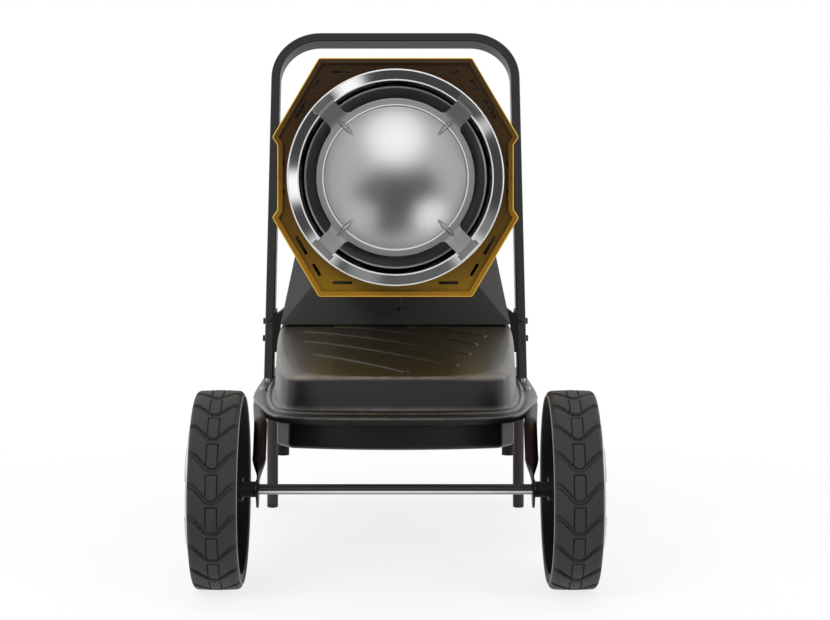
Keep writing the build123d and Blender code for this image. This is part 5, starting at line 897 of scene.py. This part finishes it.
def build_tank_top():
    """Pressed sheet steel: a lipped flange with one step, and a crown whose roof folds over softly."""
    rings = tank_top_rings()
    bm = bmesh.new()
    # painted highlight weight for each vertex, read by the tank's finish
    painted_highlight_of = bm.verts.layers.float.new("painted_highlight")
    first = loop_of(bm, [from_axle(*point) for point in rings[0][0]])
    loop = edges_of(first)
    order = [item for item in first if isinstance(item, bmesh.types.BMVert)]
    for ring, painted_highlight in rings[1:]:
        fresh, loop = next_ring(bm, loop)
        order = [
            next(edge.other_vert(vert) for edge in vert.link_edges if edge.other_vert(vert) in fresh)
            for vert in order
        ]
        for vert, point in zip(order, ring):
            vert.co = from_axle(*point)
            vert[painted_highlight_of] = painted_highlight
    bmesh.ops.contextual_create(bm, geom=loop)
    top = mesh_piece(bm, "tank_crown", "heater", [TANK_PAINT], ["tank_top"], 180.0)
    smooth = top.modifiers.new("smooth", "SUBSURF")
    smooth.levels = smooth.render_levels = 2
    thicken(top)


def build_roof_ribs():
    """Raised ribs that run slantwise over the roof, each a grid pressed to the rib's profile."""
    shares = spaced(((0.0, 0), (0.03, 4), (0.97, 24), (1.0, 4)))
    bm = bmesh.new()
    for first, middle, last in ROOF_RIBS:
        first, middle, last = Vector(first), Vector(middle), Vector(last)
        pull = 2 * middle - (first + last) / 2
        length = (middle - first).length + (last - middle).length
        grid = bmesh.ops.create_grid(
            bm, x_segments=len(shares) - 1, y_segments=len(RIB_PROFILE) - 1, size=1.0,
        )
        for vert in grid["verts"]:
            share = shares[round((vert.co.x + 1) / 2 * (len(shares) - 1))]
            across, rise = RIB_PROFILE[round((vert.co.y + 1) / 2 * (len(RIB_PROFILE) - 1))]
            along = first * (1 - share) ** 2 + pull * 2 * share * (1 - share) + last * share ** 2
            run = ((pull - first) * (1 - share) + (last - pull) * share).normalized()
            x, back = along.x - run.y * across, along.y + run.x * across
            rise = -1.0 + (rise + 1.0) * smooth_step(0.0, 3.0, min(share, 1 - share) * length)
            vert.co = from_axle(x, back, roof_z(back) + rise)
    ribs = mesh_piece(bm, "roof_ribs", "heater", [TANK_PAINT], (), 60.0)


build_outlet_ring()
build_diffuser()
build_diffuser_details()
build_tank_top()
build_roof_ribs()
for side, hand in ((-1, "left"), (1, "right")):
    build_tyre(side, hand)


# ================================================================ studio
FLOOR_HALF = 9.0
FLOOR_DROP = 0.0005
# from the floor's middle: how far the shadow shows whole, and where the floor has become plain white
SHADOW_R, SHADOW_END_R = 0.5, 1.4


def spot_mask(tree, direction, centre, inner, outer):
    """1 within the inner angle of a direction, 0 beyond the outer one, in degrees."""
    nearness = vector_node(tree, "DOT_PRODUCT", direction, Vector(centre).normalized(), result="Value")
    return spread_between(tree, nearness, cos(radians(outer)), cos(radians(inner)), eased=True)


def seen_rays(tree):
    """The light path, and 1 for what the camera sees directly or through glass."""
    path = tree.nodes.new("ShaderNodeLightPath").outputs
    return path, math_node(tree, "MAXIMUM", path["Is Camera Ray"], path["Is Transmission Ray"])


def floor_white():
    """White floor: the object's soft shadow shows near it, and further out it is plain white."""
    material = bpy.data.materials.new("floor_white")
    material.use_nodes = True
    tree = material.node_tree
    shader = tree.nodes["Principled BSDF"]
    shader.inputs["Base Color"].default_value = (0.9, 0.9, 0.9, 1)
    shader.inputs["Roughness"].default_value = 0.9
    glow = tree.nodes.new("ShaderNodeEmission")
    place = tree.nodes.new("ShaderNodeTexCoord").outputs["Object"]
    away = vector_node(tree, "LENGTH", place, result="Value")
    whiteness = spread_between(tree, away, SHADOW_R, SHADOW_END_R, 0.80, 1.0, eased=True)
    path, seen = seen_rays(tree)
    share = math_node(tree, "MULTIPLY", whiteness, math_node(tree, "MAXIMUM", seen, path["Is Glossy Ray"]))
    blend = tree.nodes.new("ShaderNodeMixShader")
    tree.links.new(share, blend.inputs[0])
    tree.links.new(shader.outputs[0], blend.inputs[1])
    tree.links.new(glow.outputs[0], blend.inputs[2])
    tree.links.new(blend.outputs[0], tree.nodes["Material Output"].inputs["Surface"])
    return material


def stage_piece(bm, name, material):
    mesh = bpy.data.meshes.new(name)
    bm.to_mesh(mesh)
    bm.free()
    mesh.materials.append(material)
    piece = bpy.data.objects.new(name, mesh)
    bpy.context.scene.collection.objects.link(piece)
    return piece


def soft_lamp(name, place, aim, size, power, mirrored=False):
    lamp = bpy.data.lights.new(name, "AREA")
    lamp.shape = "RECTANGLE"
    lamp.size, lamp.size_y = size
    lamp.energy = power
    holder = bpy.data.objects.new(name, lamp)
    holder.location = place
    holder.rotation_euler = (Vector(aim) - Vector(place)).to_track_quat("-Z", "Y").to_euler()
    holder.visible_glossy = mirrored
    bpy.context.scene.collection.objects.link(holder)


def build_world():
    """White to the camera; in reflections a studio with soft light and dark spots and a dark camera side."""
    world = bpy.data.worlds.new("studio_world")
    bpy.context.scene.world = world
    world.use_nodes = True
    tree = world.node_tree
    sky = tree.nodes["Background"]
    sky.inputs["Color"].default_value = (1, 1, 1, 1)
    direction = tree.nodes.new("ShaderNodeTexCoord").outputs["Generated"]
    level = MIRROR_LEVEL
    for centre, inner, outer, value in WORLD_SPOTS:
        mix = tree.nodes.new("ShaderNodeMix")
        tree.links.new(spot_mask(tree, direction, centre, inner, outer), mix.inputs[0])
        feed(tree, mix.inputs[2], level)
        mix.inputs[3].default_value = value
        level = mix.outputs[0]
    path, seen = seen_rays(tree)
    glossy = math_node(tree, "MULTIPLY", level, path["Is Glossy Ray"])
    diffuse = math_node(tree, "MULTIPLY", path["Is Diffuse Ray"], WORLD_LEVEL)
    total = math_node(tree, "ADD", math_node(tree, "ADD", glossy, diffuse), seen)
    tree.links.new(total, sky.inputs["Strength"])


WORLD_LEVEL = 0.45
MIRROR_LEVEL = 0.85
FRONT = (0.0, -1.0, 0.0)


def mirrored_from(ring_turn, tilt=54.6):
    """The direction that the outlet's flare shows at a turn round its ring, in degrees."""
    turn = radians(ring_turn + 180)
    return sin(radians(tilt)) * cos(turn), -cos(radians(tilt)), sin(radians(tilt)) * sin(turn)


# direction, inner and outer angle in degrees, level: each is laid over the ones before it
WORLD_SPOTS = (
    (FRONT, 64, 74, 0.07),
    (mirrored_from(285), 6, 24, 0.16),
    (mirrored_from(252), 3, 11, 0.40),
    (mirrored_from(117), 4, 10, 1.70),
    (mirrored_from(185), 5, 10, 1.70),
    (mirrored_from(30), 2, 6, 1.30),
    (mirrored_from(330), 4, 12, 0.30),
    (mirrored_from(225), 3, 11, 1.25),
    (mirrored_from(315), 3, 11, 1.25),
    (FRONT, 40, 46, 0.70),
    ((0.0, -1.0, 0.43), 3, 23, 1.65),
    ((-0.03, -1.0, -0.23), 5, 24, 0.06),
    ((0.24, -1.0, -0.13), 3, 17, 0.10),
    ((-0.22, -1.0, -0.19), 2, 15, 0.16),
    ((-0.05, -1.0, -0.45), 2, 15, 0.10),
    ((-0.15, -1.0, -0.33), 2, 12, 0.12),
    ((0.40, -1.0, -0.43), 3, 12, 1.5),
    ((-0.38, -1.0, -0.43), 2, 12, 0.85),
)


def build_studio():
    bm = bmesh.new()
    bmesh.ops.create_grid(bm, x_segments=1, y_segments=1, size=FLOOR_HALF)
    bmesh.ops.translate(bm, vec=(0, 0, -FLOOR_DROP), verts=bm.verts)
    floor = stage_piece(bm, "studio_floor", floor_white())
    floor.visible_glossy = False
    build_world()
    soft_lamp("key", (-1.6, -3.0, 2.6), (0, 0, 0.5), (1.6, 1.2), 60.0)
    soft_lamp("fill", (2.2, -2.6, 1.6), (0, 0, 0.5), (1.4, 1.6), 26.0)
    soft_lamp("top", (0.0, 0.2, 2.8), (0, 0.1, 0.4), (2.2, 2.2), 34.0)
    soft_lamp("left_edge", (-2.2, 0.9, 1.2), (0, 0, 0.5), (0.7, 2.0), 9.0, True)
    soft_lamp("right_edge", (2.2, 0.9, 1.2), (0, 0, 0.5), (0.7, 2.0), 9.0, True)


def build_camera():
    lens = bpy.data.cameras.new("photo_camera")
    lens.lens = LENS
    lens.shift_x = SHIFT_X
    lens.shift_y = SHIFT_Y
    holder = bpy.data.objects.new("photo_camera", lens)
    holder.location = (0.0, AXLE_Y - CAMERA_DISTANCE, CAMERA_HEIGHT)
    holder.rotation_euler = (pi / 2, 0.0, 0.0)
    bpy.context.scene.collection.objects.link(holder)
    bpy.context.scene.camera = holder
    bpy.context.scene.view_settings.view_transform = "Standard"


build_studio()
build_camera()
